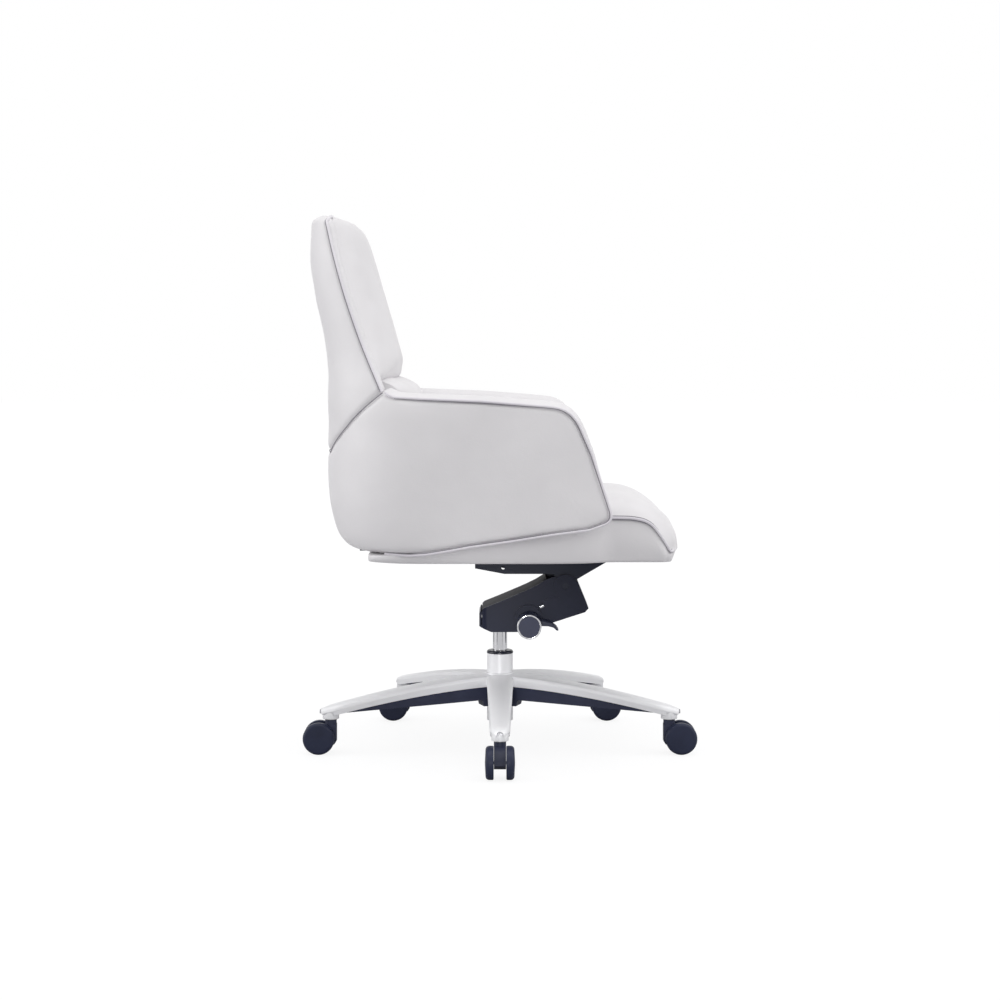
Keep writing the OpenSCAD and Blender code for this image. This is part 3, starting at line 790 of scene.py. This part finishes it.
@dataclass(frozen=True)
class ShellForm:
    """The outer form shared by the back and the arms: a U round the sitter that changes with height."""

    arm_half_w: float = field(default_factory=lambda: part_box("arm_left")[1].x)
    half_w: Profile = Profile((
        (0.573, 0.312), (0.640, 0.311), (0.690, 0.303), (0.750, 0.283), (0.850, 0.251), (1.015, 0.200),
    ))
    rear_y: Profile = Profile((
        (0.391, 0.268), (0.396, 0.284), (0.407, 0.299), (0.425, 0.311), (0.452, 0.3195), (0.487, 0.3255),
        (0.531, 0.3285), (0.573, 0.330), (0.629, 0.3262), (0.705, 0.3262), (0.779, 0.334), (0.870, 0.352),
        (0.948, 0.3625), (1.000, 0.3625),
    ))
    corner_r: Profile = Profile(((0.573, 0.150), (0.700, 0.135), (1.015, 0.072)))
    edge_y: Profile = Profile(((0.687, 0.213), (0.778, 0.253), (0.882, 0.290), (1.015, 0.327)))
    back_crown: float = 0.024
    crown_reach: float = 0.200
    join_y: float = 0.213
    join_z: float = 0.687
    seam_low_z: float = 0.573

    def crown(self, distance: float) -> float:
        """How far the crowned back falls away forwards at a distance from its middle."""
        return self.back_crown * (1 - math.exp(-((distance / self.crown_reach) ** 2)))

    def place(self, s: float, depth: float, z: float) -> Vector:
        """A place on the form.

        Args:
            s: arc length from the middle of the back; positive to the sitter's left.
            depth: distance inwards from the outer face.
            z: height.

        Returns:
            The point in the row frame.
        """
        radius = self.corner_r.at(z)
        width = self.half_w.at(z)
        rear = self.rear_y.at(z)
        run, turn = width - radius, radius * math.pi / 2
        distance, sign = abs(s), (1 if s >= 0 else -1)
        inner = radius - depth
        if distance < run:
            x, y = distance, rear - depth
        elif distance < run + turn:
            angle = (distance - run) / radius
            x, y = run + inner * math.sin(angle), rear - radius + inner * math.cos(angle)
        else:
            x, y = width - depth, rear - radius - (distance - run - turn)
        forward = smooth_step(0.19, 0.02, y)
        x += (self.arm_half_w - width) * forward
        return Vector((sign * x, y - self.crown(distance), z))

    def arc_to(self, y: float, z: float) -> float:
        """Arc length from the middle of the back to where the outer face has this Y.

        Args:
            y: the depth of the place.
            z: height.

        Returns:
            The arc length in metres.
        """
        radius, rear = self.corner_r.at(z), self.rear_y.at(z)
        run = self.half_w.at(z) - radius
        arc = run
        for _ in range(6):
            plain_y = y + self.crown(arc)
            cosine = (plain_y - rear + radius) / radius
            if cosine <= 0:
                arc = run + radius * math.pi / 2 + rear - radius - plain_y
            else:
                arc = run + radius * math.acos(min(1.0, cosine))
        return arc

    def seam_z(self, s: float) -> float:
        """Height of the seam between the back and the wrap at an arc length."""
        run = self.half_w.at(0.6) - self.corner_r.at(0.6)
        share = max(0.0, abs(s) - run) / (self.arc_to(self.join_y, self.join_z) - run)
        return self.seam_low_z + (self.join_z - self.seam_low_z) * min(1.0, share) ** 1.25

    def seam(self, steps: Iterable[int], count: int) -> list[Point]:
        """Points on the seam between the back and the wrap.

        Args:
            steps: which points, counted from the middle of the back.
            count: the steps from the middle to where the seam meets the arm.

        Returns:
            The points as (arc length, height).
        """
        reach = self.arc_to(self.join_y, self.join_z)
        return [(reach * k / count, self.seam_z(reach * k / count)) for k in steps]


@dataclass
class WrappedPanel:
    """A padded leather panel cut flat, with round edges, and wrapped round the form.

    Its outline is in (arc length, height). The depth rule turns (arc length, depth as cut, height) to the
    real depth. The crown is how far its faces bulge away from the edge, and the rim how far its edge bulges
    between the faces, by height.
    """

    name: str
    form: ShellForm
    outline: Sequence[Point]
    thickness: float
    depth_rule: Callable[[float, float, float], float]
    crown: float
    rim: Profile
    voxel: float = 0.007
    edge_round: float = 0.006
    crown_reach: float = 0.045
    rim_reach: float = 0.02

    def nearest_edge(self, points: np.ndarray) -> tuple[np.ndarray, np.ndarray]:
        """Distance from the outline and the direction away from the panel's middle.

        Args:
            points: flat places as rows of (arc length, height).

        Returns:
            Distances, and unit directions that point outwards across the edge.
        """
        a = np.array(self.outline)
        b = np.roll(a, -1, axis=0)
        along = b - a
        t = np.einsum("pij,ij->pi", points[:, None] - a[None], along) / (along**2).sum(1)
        foot = a[None] + np.clip(t, 0, 1)[..., None] * along[None]
        gap = np.linalg.norm(points[:, None] - foot, axis=2)
        best = gap.argmin(1)
        normal = np.stack([along[:, 1], -along[:, 0]], 1)
        normal /= np.linalg.norm(normal, axis=1)[:, None]
        area = np.sum(a[:, 0] * b[:, 1] - b[:, 0] * a[:, 1])
        return gap.min(1), normal[best] * (1 if area > 0 else -1)

    def build(self) -> bpy.types.Object:
        """Cuts, pads and wraps the panel.

        Returns:
            The wrapped mesh object, not yet dressed.
        """
        mesh = bpy.data.meshes.new(self.name)
        points = [(s, 0.0, z) for s, z in self.outline]
        mesh.from_pydata(points, [], [tuple(range(len(points)))])
        piece = link_new(self.name, mesh)
        select_only(piece)
        bpy.ops.object.mode_set(mode="EDIT")
        bpy.ops.mesh.select_all(action="SELECT")
        bpy.ops.mesh.extrude_region_move(TRANSFORM_OT_translate={"value": (0, self.thickness, 0)})
        bpy.ops.mesh.select_all(action="SELECT")
        bpy.ops.mesh.normals_make_consistent(inside=False)
        bpy.ops.object.mode_set(mode="OBJECT")
        apply_modifier(
            piece, "BEVEL", width=self.edge_round, segments=3, limit_method="ANGLE", angle_limit=1.2
        )
        apply_modifier(piece, "REMESH", mode="VOXEL", voxel_size=self.voxel, use_smooth_shade=True)
        apply_modifier(piece, "SMOOTH", factor=0.5, iterations=3)
        self.wrap(piece)
        return piece

    def wrap(self, piece: bpy.types.Object) -> None:
        """Pads the flat panel and wraps it round the form."""
        mesh = piece.data
        flat = np.empty(len(mesh.vertices) * 3)
        mesh.vertices.foreach_get("co", flat)
        flat = flat.reshape(-1, 3)
        gap, outwards = self.nearest_edge(flat[:, [0, 2]])
        share = np.clip(flat[:, 1] / self.thickness, 0, 1)
        bulge = self.crown * (1 - np.exp(-gap / self.crown_reach))
        depth = flat[:, 1] + bulge * (2 * share - 1)
        rim_height = np.array([self.rim.at(z) for z in flat[:, 2]])
        rim = rim_height * 4 * share * (1 - share) * np.exp(-((gap / self.rim_reach) ** 2))
        arc = flat[:, 0] + outwards[:, 0] * rim
        height = flat[:, 2] + outwards[:, 1] * rim
        for i, vertex in enumerate(mesh.vertices):
            place = self.form.place(arc[i], self.depth_rule(arc[i], depth[i], height[i]), height[i])
            lift = softness(place, 0.09, 0.0012) + softness(place, 0.035, 0.0004)
            real = self.depth_rule(arc[i], depth[i] + lift, height[i])
            vertex.co = self.form.place(arc[i], real, height[i])
        mesh.update()

    def line_on(self, points: Iterable[Point], depth: float) -> list[Vector]:
        """A line on the wrapped panel, from flat places and one depth."""
        return [self.form.place(s, self.depth_rule(s, depth, z), z) for s, z in points]


def mirrored(half: Sequence[Point]) -> list[Point]:
    """Closes a half outline, from the middle's bottom to the middle's top, by its mirror image."""
    return [*half, *[(-s, z) for s, z in reversed(half) if abs(s) > 1e-9]]


def rounded(points: Sequence[Point], radii: dict[int, float]) -> list[Point]:
    """Rounds chosen corners of a line.

    Args:
        points: the line's points.
        radii: a corner's radius by its index.

    Returns:
        The line with each chosen corner replaced by a curve.
    """
    steps = 6
    made: list[Point] = []
    for i, point in enumerate(points):
        if i not in radii:
            made.append(point)
            continue
        here = Vector(point)
        before = (Vector(points[i - 1]) - here).normalized() * radii[i]
        after = (Vector(points[i + 1]) - here).normalized() * radii[i]
        for k in range(steps + 1):
            t = k / steps
            bend = here + before * (1 - t) ** 2 + after * t**2
            made.append((bend.x, bend.y))
    return made


@dataclass
class ArmsAndWrap:
    """The arms and the lower back, one padded wall with piping along its outer edge."""

    form: ShellForm
    thickness: float = 0.057
    piping_r: float = 0.0024
    piping_start: tuple[Point, ...] = ((0.262, 0.3935), (0.222, 0.3925), (0.184, 0.3950))
    piping_end: tuple[Point, ...] = ((0.205, 0.6825), (0.213, 0.6875))
    rim: Profile = Profile((
        (0.400, 0.001), (0.460, 0.002), (0.550, 0.005), (0.630, 0.008), (0.665, 0.010), (0.690, 0.010),
    ))

    def arm_edge(self) -> list[Point]:
        """The outer edge from the arm's lower rear, round its front and back to the seam, as (y, z)."""
        line = [
            (0.140, 0.4006), (0.085, 0.409), (-0.004, 0.4204), (-0.078, 0.4315), (-0.150, 0.4405),
            (-0.199, 0.4570), (-0.1665, 0.577), (-0.128, 0.6580), (-0.078, 0.6630), (0.032, 0.6716),
            (0.150, 0.6765), (0.196, 0.6790),
        ]
        return rounded(line, {5: 0.022, 7: 0.034})

    def outline(self) -> list[Point]:
        """The wall's outline, flat."""
        arc = self.form.arc_to
        low = [(0.0, 0.391), (0.08, 0.391), (0.17, 0.3912), (arc(0.222, 0.393), 0.3925)]
        front = [(arc(y, 0.6), z) for y, z in self.arm_edge()]
        return mirrored([*low, *front, *self.form.seam(range(12, -1, -1), 12)])

    def depth(self, s: float, depth: float, z: float) -> float:
        """The real depth of a place; the wall keeps its thickness."""
        return depth

    def build(self) -> None:
        """Makes the wall and its piping."""
        panel = WrappedPanel(
            "arms_and_wrap", self.form, self.outline(), self.thickness, self.depth, crown=0.004, rim=self.rim
        )
        upholster(panel.build(), ("arm_right", "arm_left", "back_wrap"))
        arc = self.form.arc_to
        for side in Side:
            line = [*self.piping_start, *self.arm_edge(), *self.piping_end]
            edge = [(side.value * arc(y, 0.6), z) for y, z in line]
            path = even_path(panel.line_on(edge, -0.0003))
            cord = sweep(f"arm_piping_{side.name.lower()}", path, self.piping_r)
            finish_piece(cord, PIPING, Body.SEAT)
            middle = Vector((0, 0.03, 0.55))

            def inner(p: Vector) -> Vector:
                """A short step from the cord towards the middle of the panel."""
                step = middle - p
                step.x = 0
                return step.normalized() * 0.0031 + Vector((side.value * 0.0006, 0, 0))

            # A dark cord just inside each arm's piping is painted shadow in the sunk seam.
            seam_shadow_line(f"arm_seam_shadow_{side.name.lower()}", path, inner)


@dataclass
class BackShell:
    """The leather back shell, with piping round its front edge and a seam above the wrap; dark cords of painted
    shadow lie beside the piping and in that seam.
    """

    form: ShellForm
    top_z: float = 1.0170
    thickness: float = 0.024
    piping_r: float = 0.0026
    seam_shadow_gap: float = 0.0031
    seam_shadow_sunk: float = 0.0006
    board_front_y: float = 0.276
    board_low_z: float = 0.600
    board_lean: float = 0.064 / 0.385
    top_lip: float = 0.020
    top_roll: float = 0.006

    def side_line(self) -> list[Point]:
        """The front edge on one side, from the arm up and over to the middle of the top."""
        low = [(self.form.arc_to(self.form.edge_y.at(z), z), z) for z in np.linspace(0.689, 0.960, 12)]
        corner = (self.form.arc_to(self.form.edge_y.at(1.01), 1.01), self.top_z - 0.003)
        return rounded([*low, corner, (0.05, self.top_z + 0.001), (0.0, self.top_z + 0.001)], {12: 0.022})

    def outline(self) -> list[Point]:
        """The shell's outline, flat."""
        return mirrored([*self.form.seam(range(12), 12), *self.side_line()])

    def depth(self, s: float, depth: float, z: float) -> float:
        """The real depth: the shell is as thin as its leather at the sides and full behind the board."""
        board = self.board_front_y + self.board_lean * max(0.0, z - self.board_low_z)
        full = self.form.rear_y.at(z) - board + self.top_lip * smooth_step(0.985, 1.0, z)
        middle = smooth_step(self.form.half_w.at(z) * 0.95, self.form.half_w.at(z) * 0.5, abs(s))
        roll = self.top_roll * smooth_step(self.top_z - 0.010, self.top_z, z) ** 2
        return roll + depth * (1 + (full / self.thickness - 1) * middle)

    def build(self) -> None:
        """Makes the shell, its piping and the dark cords that paint the shadow beside the piping and in the seam
        above the wrap.
        """
        panel = WrappedPanel(
            "back_shell_leather", self.form, self.outline(), self.thickness, self.depth, crown=0.003,
            rim=Profile(((0.5, 0.003), (1.0, 0.003))),
        )
        upholster(panel.build(), ("back_shell",))
        line = self.side_line()
        whole = [*[(-s, z) for s, z in line], *reversed(line)]
        path = []
        for s, z in whole:
            over = smooth_step(1.002, self.top_z, z)
            cut = 0.001 + (self.thickness - 0.002) * over
            path.append(self.form.place(s, self.depth(s, cut, z), z + 0.0015 * over))
        path = even_path(path)
        finish_piece(sweep("back_piping", path, self.piping_r), PIPING, Body.SEAT)
        # Painted shadow: dark cords beside the piping and along the seam above the wrap.
        seam_shadow_line("back_seam_shadow", path, Vector((0, self.seam_shadow_gap, 0)))
        seam = self.form.seam(range(-40, 41), 40)
        seam_shadow_line("wrap_seam", even_path(panel.line_on(seam, self.seam_shadow_sunk)), Vector((0, 0, 0)))


@dataclass
class Cushion:
    """A padded cushion: a gridded block shaped by a rule, puffed by air pressure and smoothed."""

    name: str
    node: str
    rule: Callable[[float, float, float], Vector]
    cuts: int = 46
    fill: float = 0.7
    pressure: float = 4.0
    cap: float = 0.0030

    def build(self) -> None:
        """Shapes, puffs and dresses the cushion."""
        piece = new_cube(self.name, self.cuts)
        move_points(piece, lambda p: self.rule(p.x, p.y, p.z))
        recalculate(piece)
        self.puff(piece)
        apply_modifier(piece, "SMOOTH", factor=0.5, iterations=2)
        move_points(piece, lambda p: p + Vector((0, 0, softness(p, 0.11, 0.0015))))
        upholster(piece, (self.node,))

    def puff(self, piece: bpy.types.Object) -> None:
        """Inflates the cushion as cloth; each point may rise by no more than the cap."""
        scene = bpy.context.scene
        start = [(v.co.copy(), v.normal.copy()) for v in piece.data.vertices]
        cloth = piece.modifiers.new("Cloth", "CLOTH")
        cloth.settings.use_pressure = True
        cloth.settings.uniform_pressure_force = self.pressure
        cloth.settings.tension_stiffness = 25
        cloth.settings.compression_stiffness = 25
        cloth.settings.bending_stiffness = 2
        cloth.settings.effector_weights.gravity = 0
        for tick in range(1, 16):
            scene.frame_set(tick)
        select_only(piece)
        bpy.ops.object.modifier_apply(modifier=cloth.name)
        scene.frame_set(1)
        for vertex, (place, normal) in zip(piece.data.vertices, start):
            rise = (vertex.co - place).dot(normal)
            vertex.co = place + normal * min(self.cap, max(0.0, rise))
        piece.data.update()


@dataclass
class SeatUpholstery:
    """The seat cushion with its waterfall front, the box under it and the piping between them."""

    half_w: float = 0.250
    box_half_w: float = 0.285
    piping_r: float = 0.0028
    rear_reach: float = 0.051
    skirt_depth: float = 0.0032
    rim_lift: float = 0.0035
    front_bow: float = 0.010
    corner_round: float = 0.008
    front_narrowing: float = 0.045
    under_z: float = field(default_factory=lambda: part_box("seat_base_pad")[0].z)
    under_arm: Profile = Profile((
        (-0.190, 0.4565), (-0.150, 0.4395), (-0.004, 0.4195), (0.085, 0.408), (0.200, 0.3925),
        (0.260, 0.3925),
    ))
    seam: tuple[Point, ...] = (
        (0.190, 0.4600), (0.0, 0.4590), (-0.190, 0.4575), (-0.232, 0.4570), (-0.258, 0.4535),
        (-0.2788, 0.4450), (-0.3036, 0.4225), (-0.3215, 0.4040), (-0.3320, 0.3920),
    )
    top: tuple[Point, ...] = (
        (0.190, 0.4800), (0.0, 0.4895), (-0.200, 0.4950), (-0.238, 0.4925), (-0.266, 0.4840),
        (-0.2950, 0.4670), (-0.3180, 0.4450), (-0.3340, 0.4180), (-0.3370, 0.3985),
    )

    def line(self, table: Sequence[Point], share: float) -> Vector:
        """A place along a side line, by its share from the rear to the front lip.

        Args:
            table: the line's points as (y, z).
            share: 0 at the rear, 1 at the lip.

        Returns:
            The place as (0, y, z).
        """
        at = share * (len(table) - 1)
        ys = Profile(tuple((float(i), p[0]) for i, p in enumerate(table)))
        zs = Profile(tuple((float(i), p[1]) for i, p in enumerate(table)))
        return Vector((0, ys.at(at), zs.at(at)))

    def outwards(self, place: Vector) -> Vector:
        """The level direction away from the seat's middle, with round front corners."""
        x = place.x / self.half_w
        front = smooth_step(-0.20, -0.31, place.y)
        return Vector((x**3, -front, 0)).normalized()

    def plan(self, a: float, share: float) -> tuple[float, float]:
        """The plan of the rounded, bowed front.

        Args:
            a: -1 to 1 across the seat.
            share: 0 at the rear, 1 at the lip.

        Returns:
            How far the front falls back, and the width as a part of the full one.
        """
        corner = smooth_step(0.50, 1.0, share)
        bow = (self.front_bow * a * a + self.corner_round * abs(a) ** 14) * corner
        return bow, 1 - self.front_narrowing * smooth_step(0.72, 1.0, share)

    def cushion_rule(self, a: float, b: float, c: float) -> Vector:
        """Maps the block to the cushion; a is across, b towards the front, c up.

        Args:
            a: -1 to 1 across the seat.
            b: -1 at the rear to 1 at the lip.
            c: -1 at the seam to 1 at the crown.

        Returns:
            The point in the row frame.
        """
        share = 0.5 + 0.5 * b
        low, high = self.line(self.seam, share), self.line(self.top, share)
        dome = (1 - abs(a) ** 7) ** 0.55 if abs(a) < 1 else 0.0
        place = low.lerp(high, (0.5 + 0.5 * c) * (0.10 + 0.90 * dome))
        bow, narrow = self.plan(a, share)
        return Vector((a * self.half_w * narrow, place.y + bow, place.z))

    def box_rule(self, a: float, b: float, c: float) -> Vector:
        """Maps the block to the box under the cushion, which is wider under the arms.

        Args:
            a: -1 to 1 across the seat.
            b: -1 at the rear to 1 at the front.
            c: -1 at the bottom to 1 at the top.

        Returns:
            The point in the row frame.
        """
        share = 0.5 + 0.5 * b
        seam = self.line(self.seam, share)
        bow, narrow = self.plan(a, share)
        y = seam.y + self.rear_reach * smooth_step(0.25, 0.0, share)
        ceiling = seam.z if y < -0.19 else self.under_arm.at(y)
        width = (self.half_w - 0.001) * narrow
        width += (self.box_half_w - self.half_w) * smooth_step(-0.205, -0.140, y)
        width -= 0.006 * smooth_step(0.226, 0.241, y)
        rim = max(abs(a) ** 50, abs(2 * min(0.5, share) - 1) ** 60)  # 1 only at the very edge
        skirt = max(smooth_step(0.45, 0.70, abs(a)), smooth_step(0.08, 0.16, y))
        taper = 0.002 * smooth_step(0.230, 0.241, y)
        floor = min(self.under_z - 0.0015 - self.skirt_depth * skirt + self.rim_lift * rim + taper, ceiling - 0.001)
        up = 0.5 + 0.5 * c
        z = floor + (ceiling - 0.0015 - floor) * up
        belly = 0.004 * math.sin(math.pi * up) * min(1.0, (ceiling - floor) / 0.04)
        return Vector((a * (width + belly - 0.007 * (1 - up) ** 3), y + bow + 0.006 * (1 - up) * share**6, z))

    def build(self) -> None:
        """Makes the cushion, the box and the piping."""
        Cushion("seat_cushion_leather", "seat_cushion", self.cushion_rule, cuts=48, fill=0.75).build()
        box = new_cube("seat_box_leather", 40)
        move_points(box, lambda p: self.box_rule(p.x, p.y, p.z))
        recalculate(box)
        apply_modifier(box, "SMOOTH", factor=0.5, iterations=3)
        move_points(box, lambda p: p + Vector((softness(p, 0.08, 0.001), 0, 0)))
        upholster(box, ("seat_base_pad",))
        rows = [k / 60 for k in range(10, 59)]
        right = [self.cushion_rule(-1, 2 * r - 1, -1) for r in rows]
        front = [self.cushion_rule(k / 20, 2 * rows[-1] - 1, -1) for k in range(-19, 20)]
        left = [self.cushion_rule(1, 2 * r - 1, -1) for r in reversed(rows)]
        path = even_path([*right, *front, *left])
        path = [p + self.outwards(p) * 0.0015 + Vector((0, 0, 0.0005)) for p in path]
        finish_piece(sweep("seat_piping", path, self.piping_r), PIPING, Body.SEAT)
        # Dark cords just above and below the seat piping are painted shadow in its seams.
        for name, drop in (("seat_seam_shadow_upper", 0.0030), ("seat_seam_shadow_lower", -0.0032)):
            seam_shadow_line(
                name, path,
                lambda p, d=drop: Vector((0, 0, d)) + self.outwards(p) * (0.0006 - abs(d) * 0.2),
            )


@dataclass
class BackUpholstery:
    """The back cushion between the shell's wings and the lumbar cushion under it."""

    form: ShellForm
    low_z: float = 0.7085
    top_z: float = 1.0185
    inset: float = 0.030
    face_y: Profile = Profile((
        (0.708, 0.212), (0.712, 0.202), (0.722, 0.1955), (0.740, 0.1940), (0.780, 0.2030), (0.883, 0.2320),
        (0.940, 0.2485), (0.978, 0.2615), (0.997, 0.2720), (1.0085, 0.2850), (1.0120, 0.3010),
        (1.0150, 0.3095), (1.0185, 0.3150),
    ))
    rear_y: Profile = Profile(((0.712, 0.2795), (0.985, 0.3250), (1.0185, 0.3290)))
    corner_drop: float = 0.020
    side_depth: float = 0.014
    least_depth: float = 0.006
    lead: float = 0.004
    lumbar_z: Point = (0.494, 0.7115)
    lumbar_front: Profile = Profile((
        (0.494, 0.176), (0.505, 0.160), (0.540, 0.153), (0.620, 0.151), (0.665, 0.1535), (0.690, 0.160),
        (0.701, 0.172), (0.707, 0.188), (0.7115, 0.205),
    ))
    lumbar_rear: Point = (0.259, 0.276)
    lumbar_crown: float = 0.026

    def cushion_rule(self, a: float, b: float, c: float) -> Vector:
        """Maps the block to the back cushion; a is across, b from front to rear, c up.

        Args:
            a: -1 to 1 across the back.
            b: -1 at the front to 1 at the rear.
            c: -1 at the bottom to 1 at the top.

        Returns:
            The point in the row frame.
        """
        crowded = 0.5 * (c + math.sin(0.5 * math.pi * c))
        z = self.low_z + (self.top_z - self.low_z) * (0.5 + 0.5 * crowded)
        z -= self.corner_drop * abs(a) ** 9 * smooth_step(0.5, 1.0, c)
        width = self.form.half_w.at(z) - self.inset
        rear = self.rear_y.at(z)
        rear -= max(0.0, rear - self.form.edge_y.at(z) - self.side_depth) * abs(a) ** 4
        front = self.face_y.at(z)
        edge = min(rear - self.least_depth, self.form.edge_y.at(z) + self.lead)
        dome = (1 - abs(a) ** 3.2) ** 0.62 if abs(a) < 1 else 0.0
        face = edge + (front - edge) * dome
        y = face + (rear - face) * (0.5 + 0.5 * b)
        return Vector((a * width, y, z))

    def lumbar_rule(self, a: float, b: float, c: float) -> Vector:
        """Maps the block to the lumbar cushion; a is across, b from front to rear, c up.

        Args:
            a: -1 to 1 across the back.
            b: -1 at the front to 1 at the rear.
            c: -1 at the bottom to 1 at the top.

        Returns:
            The point in the row frame.
        """
        low, high = self.lumbar_z
        z = low + (high - low) * (0.5 + 0.5 * c)
        low_rear, high_rear = self.lumbar_rear
        rear = low_rear + (high_rear - low_rear) * smooth_step(0.6, 0.71, z)
        dome = (1 - abs(a) ** 6) ** 0.5 if abs(a) < 1 else 0.0
        face = self.lumbar_front.at(z) + self.lumbar_crown * (1 - dome)
        y = face + (rear - face) * (0.5 + 0.5 * b)
        return Vector((a * (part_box("lumbar_cushion")[1].x - 2 * MM), y, z))

    def build(self) -> None:
        """Makes both cushions."""
        Cushion("back_cushion_leather", "back_cushion", self.cushion_rule, cuts=44, fill=0.7).build()
        Cushion("lumbar_cushion_leather", "lumbar_cushion", self.lumbar_rule, cuts=40, fill=0.7).build()


# ---------- base ----------


@dataclass
class StarBase:
    """The five-legged casting: ridged legs that thin towards their round ends, and a hub."""

    stem_circle: float = 0.3375
    end_r: float = 0.358
    hub_z: float = 0.139
    end_z: float = 0.087
    hub_w: float = 0.054
    end_w: float = 0.036
    hub_r: float = 0.029
    boss_r: float = 0.0155
    boss_low_z: float = 0.0655
    tip_round: float = 0.013
    root_r: float = 0.012
    hub_depth: float = 0.024
    thinning: float = 0.0055
    crease: float = 0.86
    undercut: float = 0.021
    camber: float = 0.0035
    chamfer: float = 0.006
    tip_fall: float = 0.002
    hub_low_z: float = 0.077
    boss_top_z: float = 0.082

    def direction(self, number: int) -> Point:
        """The level direction of a leg, numbered from 1; the first points along -X."""
        angle = math.pi + math.radians(72) * (number - 1)
        return math.cos(angle), math.sin(angle)

    def leg(self, number: int) -> bpy.types.Object:
        """Shapes one leg from a block and turns it to its place.

        Args:
            number: the leg's number from 1.

        Returns:
            The leg's mesh object.
        """
        piece = new_cube(f"leg_{number}", 15)
        turn = self.direction(number)

        def shape(p: Vector) -> Vector:
            """Places one point of the block on the leg."""
            r = self.root_r + (self.end_r - self.root_r) * (0.5 + 0.5 * p.x)
            share = r / self.end_r
            ridge = self.hub_z - (self.hub_z - self.end_z) * share**1.6
            deep = self.hub_depth - self.thinning * share
            half = (self.hub_w + (self.end_w - self.hub_w) * share) / 2
            over = max(0.0, r - (self.end_r - self.tip_round)) / self.tip_round
            half *= math.sqrt(max(0.15, 1 - over**3))
            side = p.y * half
            across = abs(p.y)
            fall = self.camber * min(1.0, across / self.crease) ** 2
            fall += self.chamfer * max(0.0, across - self.crease) / (1 - self.crease)
            up = 0.5 + 0.5 * p.z
            top, low = ridge - fall - self.tip_fall * over**2, ridge - deep
            z = low + (top - low) * up
            r -= self.undercut * over * (1 - up)
            side *= 1 - 0.05 * (1 - up)
            return Vector((r * turn[0] - side * turn[1], r * turn[1] + side * turn[0], z))

        move_points(piece, shape)
        recalculate(piece)
        apply_modifier(piece, "BEVEL", width=0.0012, segments=2, limit_method="ANGLE", angle_limit=0.6)
        return piece

    def post(self, name: str, x: float, y: float, radius: float, low: float, high: float) -> bpy.types.Object:
        """A round post with bevelled rims.

        Args:
            name: its name.
            x: its place across.
            y: its place along.
            radius: its radius.
            low: its bottom.
            high: its top.

        Returns:
            The post's mesh object.
        """
        bpy.ops.object.select_all(action="DESELECT")
        bpy.ops.mesh.primitive_cylinder_add(
            vertices=64, radius=radius, depth=high - low, location=(x, y, (high + low) / 2)
        )
        piece = bpy.context.active_object
        piece.name = name
        settle(piece)
        apply_modifier(piece, "BEVEL", width=0.0015, segments=3, limit_method="ANGLE", angle_limit=1.0)
        return piece

    def build(self) -> None:
        """Makes the legs, the hub and the bosses as one casting."""
        pieces = [self.leg(number) for number in CASTERS]
        pieces.append(self.post("hub", 0, 0, self.hub_r, self.hub_low_z, self.hub_z + 0.0006))
        for number in CASTERS:
            x, y = (self.stem_circle * part for part in self.direction(number))
            pieces.append(self.post(f"boss_{number}", x, y, self.boss_r, self.boss_low_z, self.boss_top_z))
        star = join(pieces, "star_casting")
        shade(star, 32)
        finish_piece(star, CASTING, Body.BASE, ("base_star",))


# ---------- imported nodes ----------


@dataclass
class PackedParts:
    """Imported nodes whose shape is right: they keep it, with soft edges and a real finish."""

    edge_mm: float = 0.8

    def finishes(self) -> dict[str, Finish]:
        """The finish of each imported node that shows."""
        chosen: dict[str, Finish] = {
            "base_keels": NYLON, "socket_sleeves": ZINC, "column_tube": SILVER_PAINT,
            "guide_bush": GLOSS_NYLON, "thrust_bearing": STEEL, "pressure_tube": CHROME, "piston_rod": STEEL,
            "release_pin": STEEL, "retaining_clip": ZINC, "seat_plate": BLACK_COAT,
            "mech_housing": HOUSING_COAT, "housing_cover": COVER_NYLON, "pivot_pin": BLACK_COAT,
            "tension_spring": STEEL, "taper_socket": ZINC,
            "tilt_lock_bar": STEEL, "tension_spindle": STEEL, "tension_knob": NYLON, "knob_ring": CHROME,
            "lever_paddle": NYLON, "release_rocker": ZINC, "seat_board": VENEER, "back_board": VENEER,
            "arm_panels": VENEER, "frame_brackets": ZINC, "frame_bolts": ZINC,
        }
        for number in CASTERS:
            chosen[f"caster_stem_{number}"] = STEEL
            chosen[f"caster_axle_{number}"] = STEEL
            chosen[f"caster_yoke_{number}"] = NYLON
            chosen[f"wheel_a_{number}"] = WHEEL_NYLON
            chosen[f"wheel_b_{number}"] = WHEEL_NYLON
        return chosen

    def soften(self, node: bpy.types.Object) -> None:
        """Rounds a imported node's sharp edges with live modifiers; its own mesh stays as it is."""
        weld = node.modifiers.new("Weld", "WELD")
        weld.merge_threshold = MERGE
        bevel = node.modifiers.new("Edges", "BEVEL")
        bevel.width = self.edge_mm * MM
        bevel.segments = 2
        bevel.limit_method = "ANGLE"
        bevel.angle_limit = math.radians(38)
        node.modifiers.new("Shading", "WEIGHTED_NORMAL")

    def build(self) -> None:
        """Dresses the nodes."""
        plain = {"tension_spring", "thrust_bearing"}
        for name, finish in self.finishes().items():
            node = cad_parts[name]
            node.data.materials.clear()
            node.data.materials.append(finish.material())
            node.data.polygons.foreach_set("use_smooth", [True] * len(node.data.polygons))
            if name not in plain:
                self.soften(node)
        LOG.info("%d packed nodes dressed", len(self.finishes()))


def main() -> None:
    """Builds the studio and the chair's sub-assemblies in order."""
    form = ShellForm()
    for part in (
        Studio(), PackedParts(), StarBase(), ArmsAndWrap(form), BackShell(form), BackUpholstery(form),
        SeatUpholstery(),
    ):
        part.build()
        LOG.info("%s built", type(part).__name__)


if __name__ == "__main__":
    main()
